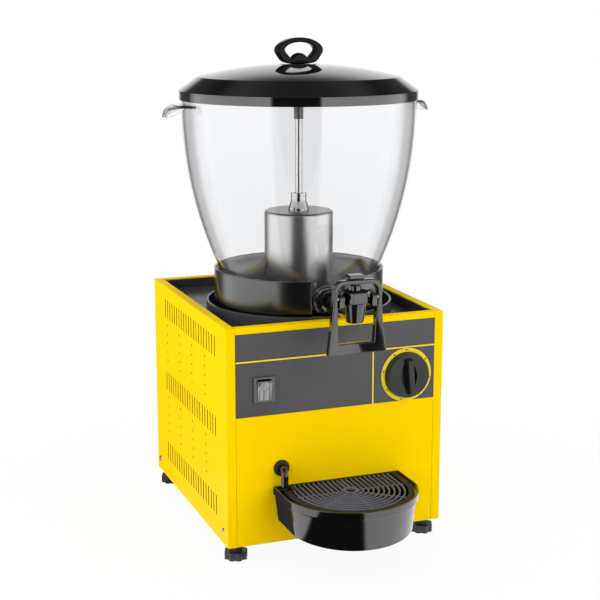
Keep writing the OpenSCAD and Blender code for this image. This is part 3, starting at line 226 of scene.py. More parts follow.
floor_tree.links.new(floor_glow.outputs["Emission"], floor_mix.inputs[2])
floor_tree.links.new(floor_mix.outputs["Shader"], floor_tree.nodes["Material Output"].inputs["Surface"])
floor_mesh.materials.append(floor_white)

# Cabinet sheets
# The four sides are folded 1.2 mm steel sheets with punched air slots. They are
# powder coated in bright yellow, and screwed to the base pan.
COAT_YELLOW = (0.98, 0.655, 0.0)
COAT_DEEP = (0.96, 0.615, 0.0)
COAT_SHEEN = 0.01
# Near-black painted shade for the cut walls of the air slots.
SLOT_PAINTED_SHADE = (0.045, 0.030, 0.003)
SHEET_MARGIN = 0.012
SLOT_WALL_FACING = 0.3
SHEET_EDGE = 0.00035
CREASE = 38.0


def surface(name, colour, roughness, metallic=0.0):
    material = bpy.data.materials.new(name)
    material.use_nodes = True
    tree = material.node_tree
    shader = tree.nodes["Principled BSDF"]
    shader.inputs["Base Color"].default_value = (*colour, 1.0)
    shader.inputs["Roughness"].default_value = roughness
    shader.inputs["Metallic"].default_value = metallic
    return material, tree, shader


def grain(tree, scale, detail=2.0, stretch=(1.0, 1.0, 1.0)):
    place = tree.nodes.new("ShaderNodeTexCoord")
    mapping = tree.nodes.new("ShaderNodeMapping")
    mapping.inputs["Scale"].default_value = stretch
    noise = tree.nodes.new("ShaderNodeTexNoise")
    noise.inputs["Scale"].default_value = scale
    noise.inputs["Detail"].default_value = detail
    tree.links.new(place.outputs["Object"], mapping.inputs["Vector"])
    tree.links.new(mapping.outputs["Vector"], noise.inputs["Vector"])
    return noise.outputs["Fac"]


def vary_roughness(tree, shader, amount, low, high):
    spread = tree.nodes.new("ShaderNodeMapRange")
    spread.inputs["From Min"].default_value = 0.3
    spread.inputs["From Max"].default_value = 0.7
    spread.inputs["To Min"].default_value = low
    spread.inputs["To Max"].default_value = high
    tree.links.new(amount, spread.inputs["Value"])
    tree.links.new(spread.outputs["Result"], shader.inputs["Roughness"])


def vary_colour(tree, shader, amount, dark, light, sharp=(0.3, 0.7)):
    ramp = tree.nodes.new("ShaderNodeValToRGB")
    ramp.color_ramp.elements[0].position = sharp[0]
    ramp.color_ramp.elements[0].color = (*dark, 1.0)
    ramp.color_ramp.elements[1].position = sharp[1]
    ramp.color_ramp.elements[1].color = (*light, 1.0)
    tree.links.new(amount, ramp.inputs["Fac"])
    tree.links.new(ramp.outputs["Color"], shader.inputs["Base Color"])


def emboss(tree, shader, height, strength, depth):
    bump = tree.nodes.new("ShaderNodeBump")
    bump.inputs["Strength"].default_value = strength
    bump.inputs["Distance"].default_value = depth
    tree.links.new(height, bump.inputs["Height"])
    tree.links.new(bump.outputs["Normal"], shader.inputs["Normal"])


def powder_coat(name, deep, bright):
    material, tree, shader = surface(name, bright, 0.4)
    vary_colour(tree, shader, grain(tree, 6.0, 3.0), deep, bright)
    vary_roughness(tree, shader, grain(tree, 40.0, 3.0), 0.36, 0.46)
    emboss(tree, shader, grain(tree, 750.0, 2.0), 0.14, 0.0001)
    shader.inputs["Specular IOR Level"].default_value = COAT_SHEEN
    return material


def plain(name, colour, scale, low, high, sheen=0.5, detail=2.0):
    material, tree, shader = surface(name, colour, low)
    vary_roughness(tree, shader, grain(tree, scale, detail), low, high)
    shader.inputs["Specular IOR Level"].default_value = sheen
    return material


def smooth_piece(mesh, crease=CREASE):
    for polygon in mesh.polygons:
        polygon.use_smooth = True
    mesh.set_sharp_from_angle(angle=math.radians(crease))


def show(name, mesh, material, body):
    mesh.materials.clear()
    mesh.materials.append(material)
    piece = bpy.data.objects.new(name, mesh)
    scene.collection.objects.link(piece)
    even = piece.modifiers.new("even_shading", "WEIGHTED_NORMAL")
    even.keep_sharp = True
    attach(piece, body)
    return piece


def body_of_node(node):
    for body, nodes in frame["record"]["behaviour"]["bodies"].items():
        if node in nodes:
            return body


def stand_in(mesh, name, material, *nodes):
    piece = show(name, mesh, material, body_of_node(nodes[0]))
    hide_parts(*nodes)
    return piece


def bevelled(bm, edges, width, segments):
    bmesh.ops.bevel(bm, geom=edges, offset=width, offset_type="OFFSET", segments=segments, profile=0.5,
                    affect="EDGES", material=-1, clamp_overlap=True)


def rounded_mesh(source, name, edge, segments=2, crease=CREASE):
    bm = bmesh.new()
    bm.from_mesh(source)
    bmesh.ops.remove_doubles(bm, verts=bm.verts, dist=2e-6)
    bmesh.ops.dissolve_limit(bm, angle_limit=math.radians(0.3), verts=bm.verts, edges=bm.edges)
    sharp = [e for e in bm.edges if e.is_manifold and e.calc_face_angle() > math.radians(crease)]
    bevelled(bm, sharp, edge, segments)
    mesh = bpy.data.meshes.new(name)
    bm.to_mesh(mesh)
    bm.free()
    for layer in ("custom_normal", "sharp_face", "sharp_edge"):
        if layer in mesh.attributes:
            mesh.attributes.remove(mesh.attributes[layer])
    return mesh


def finished(node, name, material, edge, segments=2, crease=CREASE):
    mesh = rounded_mesh(frame["nodes"][node].data, name, edge, segments, crease)
    smooth_piece(mesh)
    return stand_in(mesh, name, material, node)


def second_coat(mesh, material, chosen):
    mesh.materials.append(material)
    for polygon in mesh.polygons:
        if chosen(polygon):
            polygon.material_index = 1


def slot_wall(polygon):
    spot = polygon.center
    within_y = sheet_low.y + SHEET_MARGIN < spot.y < sheet_high.y - SHEET_MARGIN
    within_z = sheet_low.z + SHEET_MARGIN < spot.z < sheet_high.z - SHEET_MARGIN
    return within_y and within_z and abs(polygon.normal.x) < SLOT_WALL_FACING


yellow_coat = powder_coat("yellow_powder_coat", COAT_DEEP, COAT_YELLOW)
# The cut walls of the air slots are painted near black as painted shade, though the yellow coat runs
# over them.
slot_painted_shade = plain("painted_shade_slot_walls", SLOT_PAINTED_SHADE, 90.0, 0.55, 0.65)
sheet_low, sheet_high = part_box("left_side_panel")
for side in ("left_side", "right_side"):
    sheet = finished(side + "_panel", side + "_sheet", yellow_coat, SHEET_EDGE)
    second_coat(sheet.data, slot_painted_shade, slot_wall)
finished("front_panel", "front_sheet", yellow_coat, SHEET_EDGE)
finished("rear_panel", "rear_sheet", yellow_coat, SHEET_EDGE)

# Panel screws and base pan
# Zinc-plated pan-head screws with a cross recess hold the side and rear sheets to
# the upturned edges of the base pan, which is bare galvanised sheet.
ZINC = (0.60, 0.60, 0.59)
ZINC_DULL = (0.48, 0.48, 0.49)


def plated(name, dull, bright, rough):
    material, tree, shader = surface(name, bright, rough, 1.0)
    vary_colour(tree, shader, grain(tree, 60.0, 4.0), dull, bright)
    vary_roughness(tree, shader, grain(tree, 180.0, 3.0), rough - 0.06, rough + 0.06)
    return material


def dress(material, *nodes):
    for node in nodes:
        for material_slot in frame["nodes"][node].material_slots:
            material_slot.material = material


zinc = plated("zinc_plate", ZINC_DULL, ZINC, 0.32)
finished("panel_screws", "pan_head_screws", zinc, 0.00012)
dress(zinc, "base_pan")

# Levelling feet
# Moulded black feet with finger lobes, turned by hand on a threaded stud.
FOOT_BLACK = (0.016, 0.016, 0.017)
FOOT_EDGE = 0.0009


def soft_black(name, rough):
    material, tree, shader = surface(name, FOOT_BLACK, rough)
    vary_roughness(tree, shader, grain(tree, 90.0, 3.0), rough - 0.06, rough + 0.06)
    emboss(tree, shader, grain(tree, 1500.0, 2.0), 0.2, 0.00008)
    return material


foot_black = soft_black("foot_black", 0.42)
for corner in ("front_left", "front_right", "rear_left", "rear_right"):
    finished("foot_" + corner, "lobed_foot_" + corner, foot_black, FOOT_EDGE, 3)

# Cooling unit
# The compressor on its rubber mounts, the finned condenser with its fan and the
# copper pipes stand on the base pan and show only through the air slots.
COPPER = (0.62, 0.30, 0.17)
COPPER_DULL = (0.42, 0.20, 0.12)
FIN_ALLOY = (0.72, 0.72, 0.73)
MOTOR_GREY = (0.16, 0.16, 0.17)
MOTOR_DULL = (0.10, 0.10, 0.11)

copper = plated("bare_copper", COPPER_DULL, COPPER, 0.3)
fin_alloy = plated("fin_alloy", ZINC, FIN_ALLOY, 0.38)
motor_grey = plated("motor_grey", MOTOR_DULL, MOTOR_GREY, 0.5)
can_black = soft_black("compressor_black", 0.3)
mount_rubber = soft_black("mount_rubber", 0.6)
dress(can_black, "compressor")
dress(mount_rubber, "compressor_mounts")
dress(fin_alloy, "condenser", "fan_blade")
dress(motor_grey, "fan_motor", "pump_motor")
dress(copper, "refrigerant_pipes", "cooling_coil")
dress(zinc, "drive_rotor")

# Cord gland
# A moulded rubber bush in the rear sheet, where the mains lead goes in.
finished("cord_gland", "rear_cord_gland", mount_rubber, 0.0006, 3)

# Top deck
# A black moulded deck with upturned edges and a low round lip, dropped in between
# the folded rims of the sheets.
DECK_BLACK = (0.055, 0.055, 0.058)

deck_black, deck_tree, deck_shader = surface("satin_deck_black", DECK_BLACK, 0.28)
vary_roughness(deck_tree, deck_shader, grain(deck_tree, 25.0, 3.0), 0.22, 0.32)
emboss(deck_tree, deck_shader, grain(deck_tree, 900.0, 2.0), 0.08, 0.00008)
finished("top_deck", "black_deck", deck_black, 0.0005, 3)

# Bowl seat
# A glossy black collar stands on the deck round the bowl's base, with a pale
# insulating ring inside it. Both are notched at the front for the outlet.
GLOSS_BLACK = (0.0025, 0.0025, 0.0028)
LINER_GREY = (0.80, 0.80, 0.81)
BOWL_Y = 0.029
COLLAR_WALL = 0.0030
LINER_WALL = 0.0019
NOTCH_HALF = 0.0225
NOTCH_LOW = 0.2860
NOTCH_DEEP = 0.05
NOTCH_PAST = 0.01
SEAT_STEPS = 160


def gloss_moulding(name, colour, low, high, sheen=1.0, coat=0.5):
    material, tree, shader = surface(name, colour, low)
    vary_roughness(tree, shader, grain(tree, 35.0, 3.0), low, high)
    emboss(tree, shader, grain(tree, 320.0, 1.0), 0.02, 0.0001)
    shader.inputs["Specular IOR Level"].default_value = sheen
    shader.inputs["Coat Weight"].default_value = coat
    shader.inputs["Coat Roughness"].default_value = low
    return material


def new_mesh(name, bm, crease=CREASE):
    bmesh.ops.remove_doubles(bm, verts=bm.verts, dist=1e-6)
    bmesh.ops.recalc_face_normals(bm, faces=bm.faces)
    mesh = bpy.data.meshes.new(name)
    bm.to_mesh(mesh)
    bm.free()
    smooth_piece(mesh, crease)
    return mesh


def outline_edges(bm, points):
    corners = [bm.verts.new(point) for point in points]
    pairs = zip(corners, corners[1:] + corners[:1])
    return corners, [bm.edges.new(pair) for pair in pairs]


def spun(outline, steps, place=(0.0, 0.0, 0.0)):
    bm = bmesh.new()
    corners, edges = outline_edges(bm, [(r, 0.0, z) for r, z in outline])
    bmesh.ops.spin(bm, geom=corners + edges, cent=(0, 0, 0), axis=(0, 0, 1), angle=math.tau, steps=steps,
                   use_merge=True)
    bmesh.ops.translate(bm, verts=bm.verts, vec=place)
    return bm


def bar_between(bm, low, high):
    verts = bmesh.ops.create_cube(bm, size=1.0)["verts"]
    size = Vector(high) - Vector(low)
    middle = (Vector(high) + Vector(low)) / 2
    stretched = Matrix.Translation(middle) @ Matrix.Diagonal((*size, 1.0))
    bmesh.ops.transform(bm, matrix=stretched, verts=verts)
    return verts


def combined(base, other, operation):
    kept = bpy.data.objects.new("combine_base", base)
    tool = bpy.data.objects.new("combine_tool", other)
    scene.collection.objects.link(kept)
    scene.collection.objects.link(tool)
    work = kept.modifiers.new("combine", "BOOLEAN")
    work.object = tool
    work.operation = operation
    work.solver = "EXACT"
    bpy.context.view_layer.update()
    result = bpy.data.meshes.new_from_object(kept.evaluated_get(bpy.context.evaluated_depsgraph_get()))
    bpy.data.objects.remove(kept)
    bpy.data.objects.remove(tool)
    return result


def notched_ring(node, name, wall, edge, material):
    low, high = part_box(node)
    inner = high.x - wall
    ring_outline = [(inner, low.z), (high.x, low.z), (high.x, high.z), (inner, high.z)]
    ring = new_mesh(name + "_turned", spun(ring_outline, SEAT_STEPS, (0.0, BOWL_Y, 0.0)))
    notch_bm = bmesh.new()
    bar_between(notch_bm, (-NOTCH_HALF, low.y - NOTCH_PAST, NOTCH_LOW),
                (NOTCH_HALF, low.y + NOTCH_DEEP, high.z + NOTCH_PAST))
    notched = combined(ring, new_mesh(name + "_notch", notch_bm), "DIFFERENCE")
    mesh = rounded_mesh(notched, name, edge, 3)
    smooth_piece(mesh)
    stand_in(mesh, name, material, node)


gloss_black = gloss_moulding("gloss_black_moulding", GLOSS_BLACK, 0.05, 0.09)
collar_black = gloss_moulding("collar_black", GLOSS_BLACK, 0.20, 0.25)
notched_ring("bowl_collar", "bowl_seat_collar", COLLAR_WALL, 0.0008, collar_black)
liner_grey = plain("liner_grey", LINER_GREY, 60.0, 0.45, 0.55, detail=3.0)
notched_ring("seat_liner", "pale_seat_liner", LINER_WALL, 0.0004, liner_grey)

# Control plate
# A dark grey plate on the front sheet. The thin yellow lines, the dial's ring and
# its dots are printed on it, and stand a tenth of a millimetre proud.
PLATE_GREY = (0.047, 0.045, 0.048)
PLATE_GREY_LIGHT = (0.055, 0.053, 0.057)
PRINT_YELLOW = (0.93, 0.70, 0.03)
PRINT_SHEEN = 0.02
PRINT_HEIGHT = 0.00012
LINE_WIDTH = 0.0017
LINE_LEVEL = 0.2488
LINE_DROP_X = 0.0465
DIAL_X = 0.091
DIAL_Z = 0.214
DIAL_RING_OUTER = 0.0335
DIAL_RING_INNER = 0.0289
DIAL_RING_HEIGHT = 1.5 * PRINT_HEIGHT
DIAL_STEPS = 96
DIAL_DOT_RADIUS = 0.0011
DIAL_DOT_HEIGHT = 1.75 * PRINT_HEIGHT
DIAL_TOP_DOT = 90.0
DIAL_FIRST_DOT = 122.0
DIAL_DOT_STEP = 45.4
DIAL_LOW_DOTS = 7

plate_low, plate_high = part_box("control_plate")
plate_face = plate_low.y
plate_grey, plate_tree, plate_shader = surface("plate_dark_grey", PLATE_GREY, 0.42)
vary_colour(plate_tree, plate_shader, grain(plate_tree, 12.0, 3.0), PLATE_GREY, PLATE_GREY_LIGHT)
vary_roughness(plate_tree, plate_shader, grain(plate_tree, 50.0, 3.0), 0.36, 0.46)
emboss(plate_tree, plate_shader, grain(plate_tree, 1400.0, 2.0), 0.08, 0.00005)
dress(plate_grey, "control_plate")


def facing_front(x, y, z):
    return Matrix.Translation((x, y, z)) @ Matrix.Rotation(math.radians(90.0), 4, "X")


def added(name, bm, material, body):
    show(name, new_mesh(name, bm), material, body)


print_yellow = plain("printed_yellow", PRINT_YELLOW, 80.0, 0.36, 0.46, PRINT_SHEEN)
lines_bm = bmesh.new()
bar_between(lines_bm, (plate_low.x, plate_face - PRINT_HEIGHT, LINE_LEVEL - LINE_WIDTH / 2),
            (plate_high.x, plate_face, LINE_LEVEL + LINE_WIDTH / 2))
bar_between(lines_bm, (LINE_DROP_X - LINE_WIDTH / 2, plate_face - PRINT_HEIGHT, plate_low.z),
            (LINE_DROP_X + LINE_WIDTH / 2, plate_face, LINE_LEVEL - LINE_WIDTH / 2))
added("printed_lines", lines_bm, print_yellow, "cabinet")

dial_place = facing_front(DIAL_X, plate_face, DIAL_Z)
ring_bm = spun([(DIAL_RING_INNER, 0.0), (DIAL_RING_OUTER, 0.0), (DIAL_RING_OUTER, DIAL_RING_HEIGHT),
                (DIAL_RING_INNER, DIAL_RING_HEIGHT)], DIAL_STEPS)
bmesh.ops.transform(ring_bm, matrix=dial_place, verts=ring_bm.verts)
added("printed_dial_ring", ring_bm, print_yellow, "cabinet")

dots_bm = bmesh.new()
dot_reach = (DIAL_RING_INNER + DIAL_RING_OUTER) / 2
dot_turns = [DIAL_TOP_DOT] + [DIAL_FIRST_DOT + DIAL_DOT_STEP * step for step in range(DIAL_LOW_DOTS)]
for dot_turn in dot_turns:
    turn = math.radians(dot_turn)
    spot = (dot_reach * math.cos(turn), dot_reach * math.sin(turn), DIAL_DOT_HEIGHT)
    bmesh.ops.create_cone(dots_bm, cap_ends=True, segments=20, radius1=DIAL_DOT_RADIUS,
                          radius2=DIAL_DOT_RADIUS, depth=PRINT_HEIGHT, matrix=Matrix.Translation(spot))
bmesh.ops.transform(dots_bm, matrix=dial_place, verts=dots_bm.verts)
added("printed_dial_dots", dots_bm, foot_black, "cabinet")

# Rocker switch
# A snap-in switch: a black frame and a rocker of smoked, ribbed clear plastic.
ROCKER_GROOVE_PAINTED_SHADE = (0.05, 0.05, 0.053)
ROCKER_CREST_PAINTED_HIGHLIGHT = (0.36, 0.36, 0.38)

finished("switch_frame", "switch_bezel", gloss_black, 0.0005, 3)
rocker_grey, rocker_tree, rocker_shader = surface("smoked_rocker", ROCKER_CREST_PAINTED_HIGHLIGHT, 0.18)
ribs = grain(rocker_tree, 420.0, 3.0, (1.0, 1.0, 0.06))
# The rocker's colour follows the rib relief: dark in the grooves as painted shade, light on the crests
# as a painted highlight.
vary_colour(rocker_tree, rocker_shader, ribs, ROCKER_GROOVE_PAINTED_SHADE, ROCKER_CREST_PAINTED_HIGHLIGHT, (0.35, 0.62))
emboss(rocker_tree, rocker_shader, ribs, 0.25, 0.0003)
rocker_shader.inputs["Coat Weight"].default_value = 0.6
rocker_shader.inputs["Coat Roughness"].default_value = 0.06
finished("switch_rocker", "ribbed_rocker", rocker_grey, 0.0007, 3)

# Thermostat
# The thermostat sits behind the sheet with a nut on its bushing. Its knob is a low black
# moulded drum with a lens-shaped hollow across the face and a finger ridge in the hollow.
KNOB_RADIUS = 0.0280
KNOB_GAP = 0.0006
KNOB_DRUM = 0.0078
KNOB_CROWN = 0.0006
KNOB_BORE = 0.0034
KNOB_BORE_DEEP = 0.0050
KNOB_STEPS = 128
KNOB_BLACK = (0.009, 0.009, 0.010)
KNOB_SHEEN = 0.45
HOLLOW_HALF_LENGTH = 0.0215
HOLLOW_HALF_WIDTH = 0.0088
HOLLOW_DEPTH = 0.0026
HOLLOW_OPENING = 1.25
HOLLOW_END_OPENING = 0.12
HOLLOW_PAST = 0.0010
RIDGE_HALF_LENGTH = 0.0228
RIDGE_HALF_WIDTH = 0.0050
RIDGE_TOP_HALF_WIDTH = 0.0034
RIDGE_TOP_LENGTH_SHARE = 0.94
RIDGE_HEIGHT = 0.0163
RIDGE_EDGE = 0.0009
RIDGE_SINK = 0.0004
LENS_STEPS = 24
GRIP_TURN = 5.0

dress(zinc, "thermostat_body", "thermostat_nut", "thermostat_shaft")


def filled_outline(bm, points):
    return bmesh.ops.contextual_create(bm, geom=outline_edges(bm, points)[1])["faces"]


def moved(bm, made, way):
    verts = [part for part in made["geom"] if isinstance(part, bmesh.types.BMVert)]
    bmesh.ops.translate(bm, vec=way, verts=verts)
    return verts


def extruded(bm, faces, way):
    return moved(bm, bmesh.ops.extrude_face_region(bm, geom=faces), way)


def built(name, bm, material, *nodes):
    stand_in(new_mesh(name, bm), name, material, *nodes)


def lens_block(half_length, half_width, low, high, top_share):
    bm = bmesh.new()
    bow = (half_length ** 2 + half_width ** 2) / (2 * half_width)
    half_turn = math.asin(half_length / bow)
    right = []
    for step in range(LENS_STEPS + 1):
        turn = -half_turn + 2 * half_turn * step / LENS_STEPS
        right.append((bow * math.cos(turn) - bow + half_width, bow * math.sin(turn)))
    left = [(-x, y) for x, y in reversed(right[1:-1])]
    base = filled_outline(bm, [(x, y, low) for x, y in right + left])
    top_verts = extruded(bm, base, (0.0, 0.0, high - low))
    lengthwise = 1.0 + (top_share - 1.0) * HOLLOW_END_OPENING
    bmesh.ops.scale(bm, vec=(top_share, lengthwise, 1.0), verts=top_verts)
    return bm


drum_bm = spun([(KNOB_BORE, 0.0), (KNOB_RADIUS - 0.0006, 0.0), (KNOB_RADIUS, 0.0006),
                (KNOB_RADIUS - 0.0004, KNOB_DRUM - 0.0012), (KNOB_RADIUS - 0.0008, KNOB_DRUM - 0.0004),
                (KNOB_RADIUS - 0.0018, KNOB_DRUM), (KNOB_RADIUS * 0.6, KNOB_DRUM + KNOB_CROWN * 0.7),
                (0.0, KNOB_DRUM + KNOB_CROWN), (0.0, KNOB_BORE_DEEP), (KNOB_BORE, KNOB_BORE_DEEP)],
               KNOB_STEPS)
hollow_bm = lens_block(HOLLOW_HALF_LENGTH, HOLLOW_HALF_WIDTH, KNOB_DRUM - HOLLOW_DEPTH,
                       KNOB_DRUM + KNOB_CROWN + HOLLOW_PAST, HOLLOW_OPENING)
knob_mesh = combined(new_mesh("knob_drum", drum_bm), new_mesh("knob_hollow", hollow_bm), "DIFFERENCE")
ridge_bm = bmesh.new()
ridge_low = KNOB_DRUM - HOLLOW_DEPTH - RIDGE_SINK
bar_between(ridge_bm, (-RIDGE_HALF_WIDTH, -RIDGE_HALF_LENGTH, ridge_low),
            (RIDGE_HALF_WIDTH, RIDGE_HALF_LENGTH, RIDGE_HEIGHT))
ridge_crest = [v for v in ridge_bm.verts if v.co.z > (ridge_low + RIDGE_HEIGHT) / 2]
ridge_narrowing = (RIDGE_TOP_HALF_WIDTH / RIDGE_HALF_WIDTH, RIDGE_TOP_LENGTH_SHARE, 1.0)
bmesh.ops.scale(ridge_bm, vec=ridge_narrowing, verts=ridge_crest)
bevelled(ridge_bm, ridge_bm.edges[:], RIDGE_EDGE, 4)
knob_bm = bmesh.new()
knob_bm.from_mesh(knob_mesh)
knob_bm.from_mesh(new_mesh("knob_ridge", ridge_bm))
grip_turn = Matrix.Rotation(math.radians(GRIP_TURN), 3, "Z")
bmesh.ops.rotate(knob_bm, cent=(0, 0, 0), matrix=grip_turn, verts=knob_bm.verts)
knob_place = facing_front(DIAL_X, plate_face - KNOB_GAP, DIAL_Z)
bmesh.ops.transform(knob_bm, matrix=knob_place, verts=knob_bm.verts)
knob_black = gloss_moulding("knob_black", KNOB_BLACK, 0.22, 0.30, KNOB_SHEEN, 0.0)
built("ridged_knob", knob_bm, knob_black, "thermostat_knob")

# Drain
# A rubber grommet in the front sheet holds a bent plastic pipe that drips into the tray.
finished("drain_grommet", "drain_bush", foot_black, 0.0008, 3)
finished("drain_elbow", "drain_bend", gloss_black, 0.0004, 2)

# Drip tray
# A glossy black moulding with a proud rim and sides that taper in towards the bottom,
# which is a little deeper at the front. It slides on the runners of a plated bracket.
TRAY_TAPER = 0.055
TRAY_MIDDLE_Y = -0.150
TRAY_BELLY = 0.0055
TRAY_RIM = 0.0105
TRAY_SIDE_FACING = 0.965
PAINTED_SHADE_BLACK = (0.022, 0.023, 0.026)

dress(zinc, "tray_bracket")
tray_low, tray_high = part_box("drip_tray")
tray_mesh = rounded_mesh(frame["nodes"]["drip_tray"].data, "tapered_drip_tray", 0.0011, 3)
rim_bottom = tray_high.z - TRAY_RIM
for vert in tray_mesh.vertices:
    if vert.co.z < rim_bottom:
        depth = (rim_bottom - vert.co.z) / (rim_bottom - tray_low.z)
        share = 1.0 - TRAY_TAPER * depth
        vert.co.x *= share
        if vert.co.y < TRAY_MIDDLE_Y:
            front = (TRAY_MIDDLE_Y - vert.co.y) / (TRAY_MIDDLE_Y - tray_low.y)
            vert.co.y = TRAY_MIDDLE_Y + (vert.co.y - TRAY_MIDDLE_Y) * share
            vert.co.z -= TRAY_BELLY * front * depth
smooth_piece(tray_mesh)
stand_in(tray_mesh, "tapered_drip_tray", gloss_black, "drip_tray")
# Faces turned squarely left or right take a second, duller and lighter black without reflection. This is
# painted light and shade for how these sides are lit; the moulding is one glossy black all over.
painted_shade_black = plain("painted_shade_tray_sides_bonnet_top", PAINTED_SHADE_BLACK, 60.0, 0.45, 0.55, 0.0)
second_coat(tray_mesh, painted_shade_black, lambda polygon: abs(polygon.normal.x) > TRAY_SIDE_FACING)

# Drip grille
# A loose moulding of U-shaped bars with rounded tops round a hole, inside a flat border,
# with low cross ribs under the bars and a corner left out for the drain pipe.
BAR_FIRST = 0.0088
BAR_PITCH = 0.0062
BAR_COUNT = 10
BAR_HALF = 0.00108
BAR_DROP = 0.0034
BAR_FOOT_SHARE = 0.8
BAR_STEPS = 48
BAR_TOP_STEPS = 8
MIDDLE_BAR_SINK = 0.0003
MIDDLE_BAR_X = 0.0029
HUB_Y = -0.146
HUB_HOLE = 0.0066
HUB_OUTER = 0.0098
HUB_EDGE = 0.0006
HUB_STEPS = 64
BORDER_INNER = 0.0690
BORDER_OUTER = 0.0765
BORDER_BACK = 0.0030
BORDER_NOTCH_X = -0.0645
BORDER_NOTCH_Y = -0.1225
BORDER_NOTCH_WIDTH = 0.004
BORDER_EDGE = 0.0005
RIB_TURNS = (0.0, 40.0, 90.0, 140.0, 180.0)
RIB_HALF = 0.0011
RIB_LOW = 0.0028
RIB_TOP = 0.0012
RIB_START = 0.9 * HUB_OUTER
RIB_END = BORDER_INNER + 0.0010
GRILLE_PAINTED_HIGHLIGHT_GREY = (0.112, 0.119, 0.138)
GRILLE_SHEEN = 0.15
BORDER_BLACK = (0.020, 0.021, 0.024)
BORDER_SHEEN = 0.03

grille_low, grille_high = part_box("drip_grille")
grille_top = grille_high.z
bar_back = grille_high.y - BORDER_BACK / 2
bar_section = []
for step in range(BAR_TOP_STEPS + 1):
    turn = math.radians(180.0 - 180.0 * step / BAR_TOP_STEPS)
    bar_section.append((BAR_HALF * math.cos(turn), BAR_HALF * (math.sin(turn) - 1.0)))
bar_section += [(BAR_HALF * BAR_FOOT_SHARE, -BAR_DROP), (-BAR_HALF * BAR_FOOT_SHARE, -BAR_DROP)]
grille_bm = bmesh.new()


def softened(bm, width, segments, crease):
    bmesh.ops.recalc_face_normals(bm, faces=bm.faces)
    sharp = [e for e in bm.edges if e.calc_face_angle(0.0) > math.radians(crease)]
    bevelled(bm, sharp, width, segments)


def drawn_back(bm, edges, back):
    moved(bm, bmesh.ops.extrude_edge_only(bm, edges=edges), (0.0, back - HUB_Y, 0.0))


def u_bar(bm, reach, left_back):
    section = [(reach + s, HUB_Y, grille_top + h) for s, h in bar_section]
    corners, edges = outline_edges(bm, section)
    turned = bmesh.ops.spin(bm, geom=corners + edges, cent=(0.0, HUB_Y, 0.0), axis=(0, 0, 1),
                            angle=-math.pi, steps=BAR_STEPS)
    last_edges = [g for g in turned["geom_last"] if isinstance(g, bmesh.types.BMEdge)]
    drawn_back(bm, edges, bar_back)
    drawn_back(bm, last_edges, left_back)


for bar in range(BAR_COUNT):
    reach = BAR_FIRST + bar * BAR_PITCH
    u_bar(grille_bm, reach, BORDER_NOTCH_Y if reach > -BORDER_NOTCH_X - BAR_HALF else bar_back)
for side in (-1.0, 1.0):
    bar_between(grille_bm, (side * MIDDLE_BAR_X - BAR_HALF, HUB_Y + HUB_HOLE, grille_top - BAR_DROP),
                (side * MIDDLE_BAR_X + BAR_HALF, bar_back, grille_top - MIDDLE_BAR_SINK))
for turn in RIB_TURNS:
    rib = bar_between(grille_bm, (RIB_START, -RIB_HALF, grille_top - RIB_LOW),
                      (RIB_END, RIB_HALF, grille_top - RIB_TOP))
    rib_turn = Matrix.Rotation(math.radians(-turn), 3, "Z")
    bmesh.ops.rotate(grille_bm, cent=(0, 0, 0), matrix=rib_turn, verts=rib)
    bmesh.ops.translate(grille_bm, vec=(0.0, HUB_Y, 0.0), verts=rib)
bmesh.ops.holes_fill(grille_bm, edges=[e for e in grille_bm.edges if e.is_boundary], sides=0)
hub_bm = spun([(HUB_HOLE, -BAR_DROP), (HUB_OUTER, -BAR_DROP), (HUB_OUTER, -HUB_EDGE),
               (HUB_OUTER - HUB_EDGE, 0.0), (HUB_HOLE + HUB_EDGE, 0.0), (HUB_HOLE, -HUB_EDGE)],
              HUB_STEPS, (0.0, HUB_Y, grille_top))
grille_bm.from_mesh(new_mesh("grille_hub", hub_bm))
border_back = grille_high.y
outer_path = [(BORDER_OUTER, border_back), (BORDER_OUTER, HUB_Y)]
inner_path = [(BORDER_INNER, border_back - BORDER_BACK), (BORDER_INNER, HUB_Y)]
front_reach = HUB_Y - grille_low.y
for step in range(1, BAR_STEPS):
    turn = math.pi * step / BAR_STEPS
    outer_path.append((BORDER_OUTER * math.cos(turn), HUB_Y - front_reach * math.sin(turn)))
    inner_path.append((BORDER_INNER * math.cos(turn), HUB_Y - BORDER_INNER * math.sin(turn)))
outer_path += [(-BORDER_OUTER, HUB_Y), (-BORDER_OUTER, BORDER_NOTCH_Y), (BORDER_NOTCH_X, BORDER_NOTCH_Y),
               (BORDER_NOTCH_X, border_back)]
notch_x = BORDER_NOTCH_X + BORDER_NOTCH_WIDTH
notch_y = BORDER_NOTCH_Y - BORDER_NOTCH_WIDTH
inner_path += [(-BORDER_INNER, HUB_Y), (-BORDER_INNER, notch_y), (notch_x, notch_y),
               (notch_x, border_back - BORDER_BACK)]
border_bm = bmesh.new()
outer_loop = outline_edges(border_bm, [(x, y, grille_top) for x, y in outer_path])[1]
inner_loop = outline_edges(border_bm, [(x, y, grille_top) for x, y in inner_path])[1]
border_faces = bmesh.ops.bridge_loops(border_bm, edges=outer_loop + inner_loop)["faces"]
extruded(border_bm, border_faces, (0.0, 0.0, -BAR_DROP))
softened(border_bm, BORDER_EDGE, 2, 60.0)
border_black = plain("grille_border_black", BORDER_BLACK, 60.0, 0.30, 0.40, BORDER_SHEEN)
added("grille_border", border_bm, border_black, "grille")
# The bars are coloured a light grey, a painted highlight standing in for the shine on their rounded
# tops; the moulding itself is black like its border.
grille_painted_highlight = plain("grille_painted_highlight", GRILLE_PAINTED_HIGHLIGHT_GREY, 60.0, 0.36, 0.44, GRILLE_SHEEN)
built("barred_grille", grille_bm, grille_painted_highlight, "drip_grille")

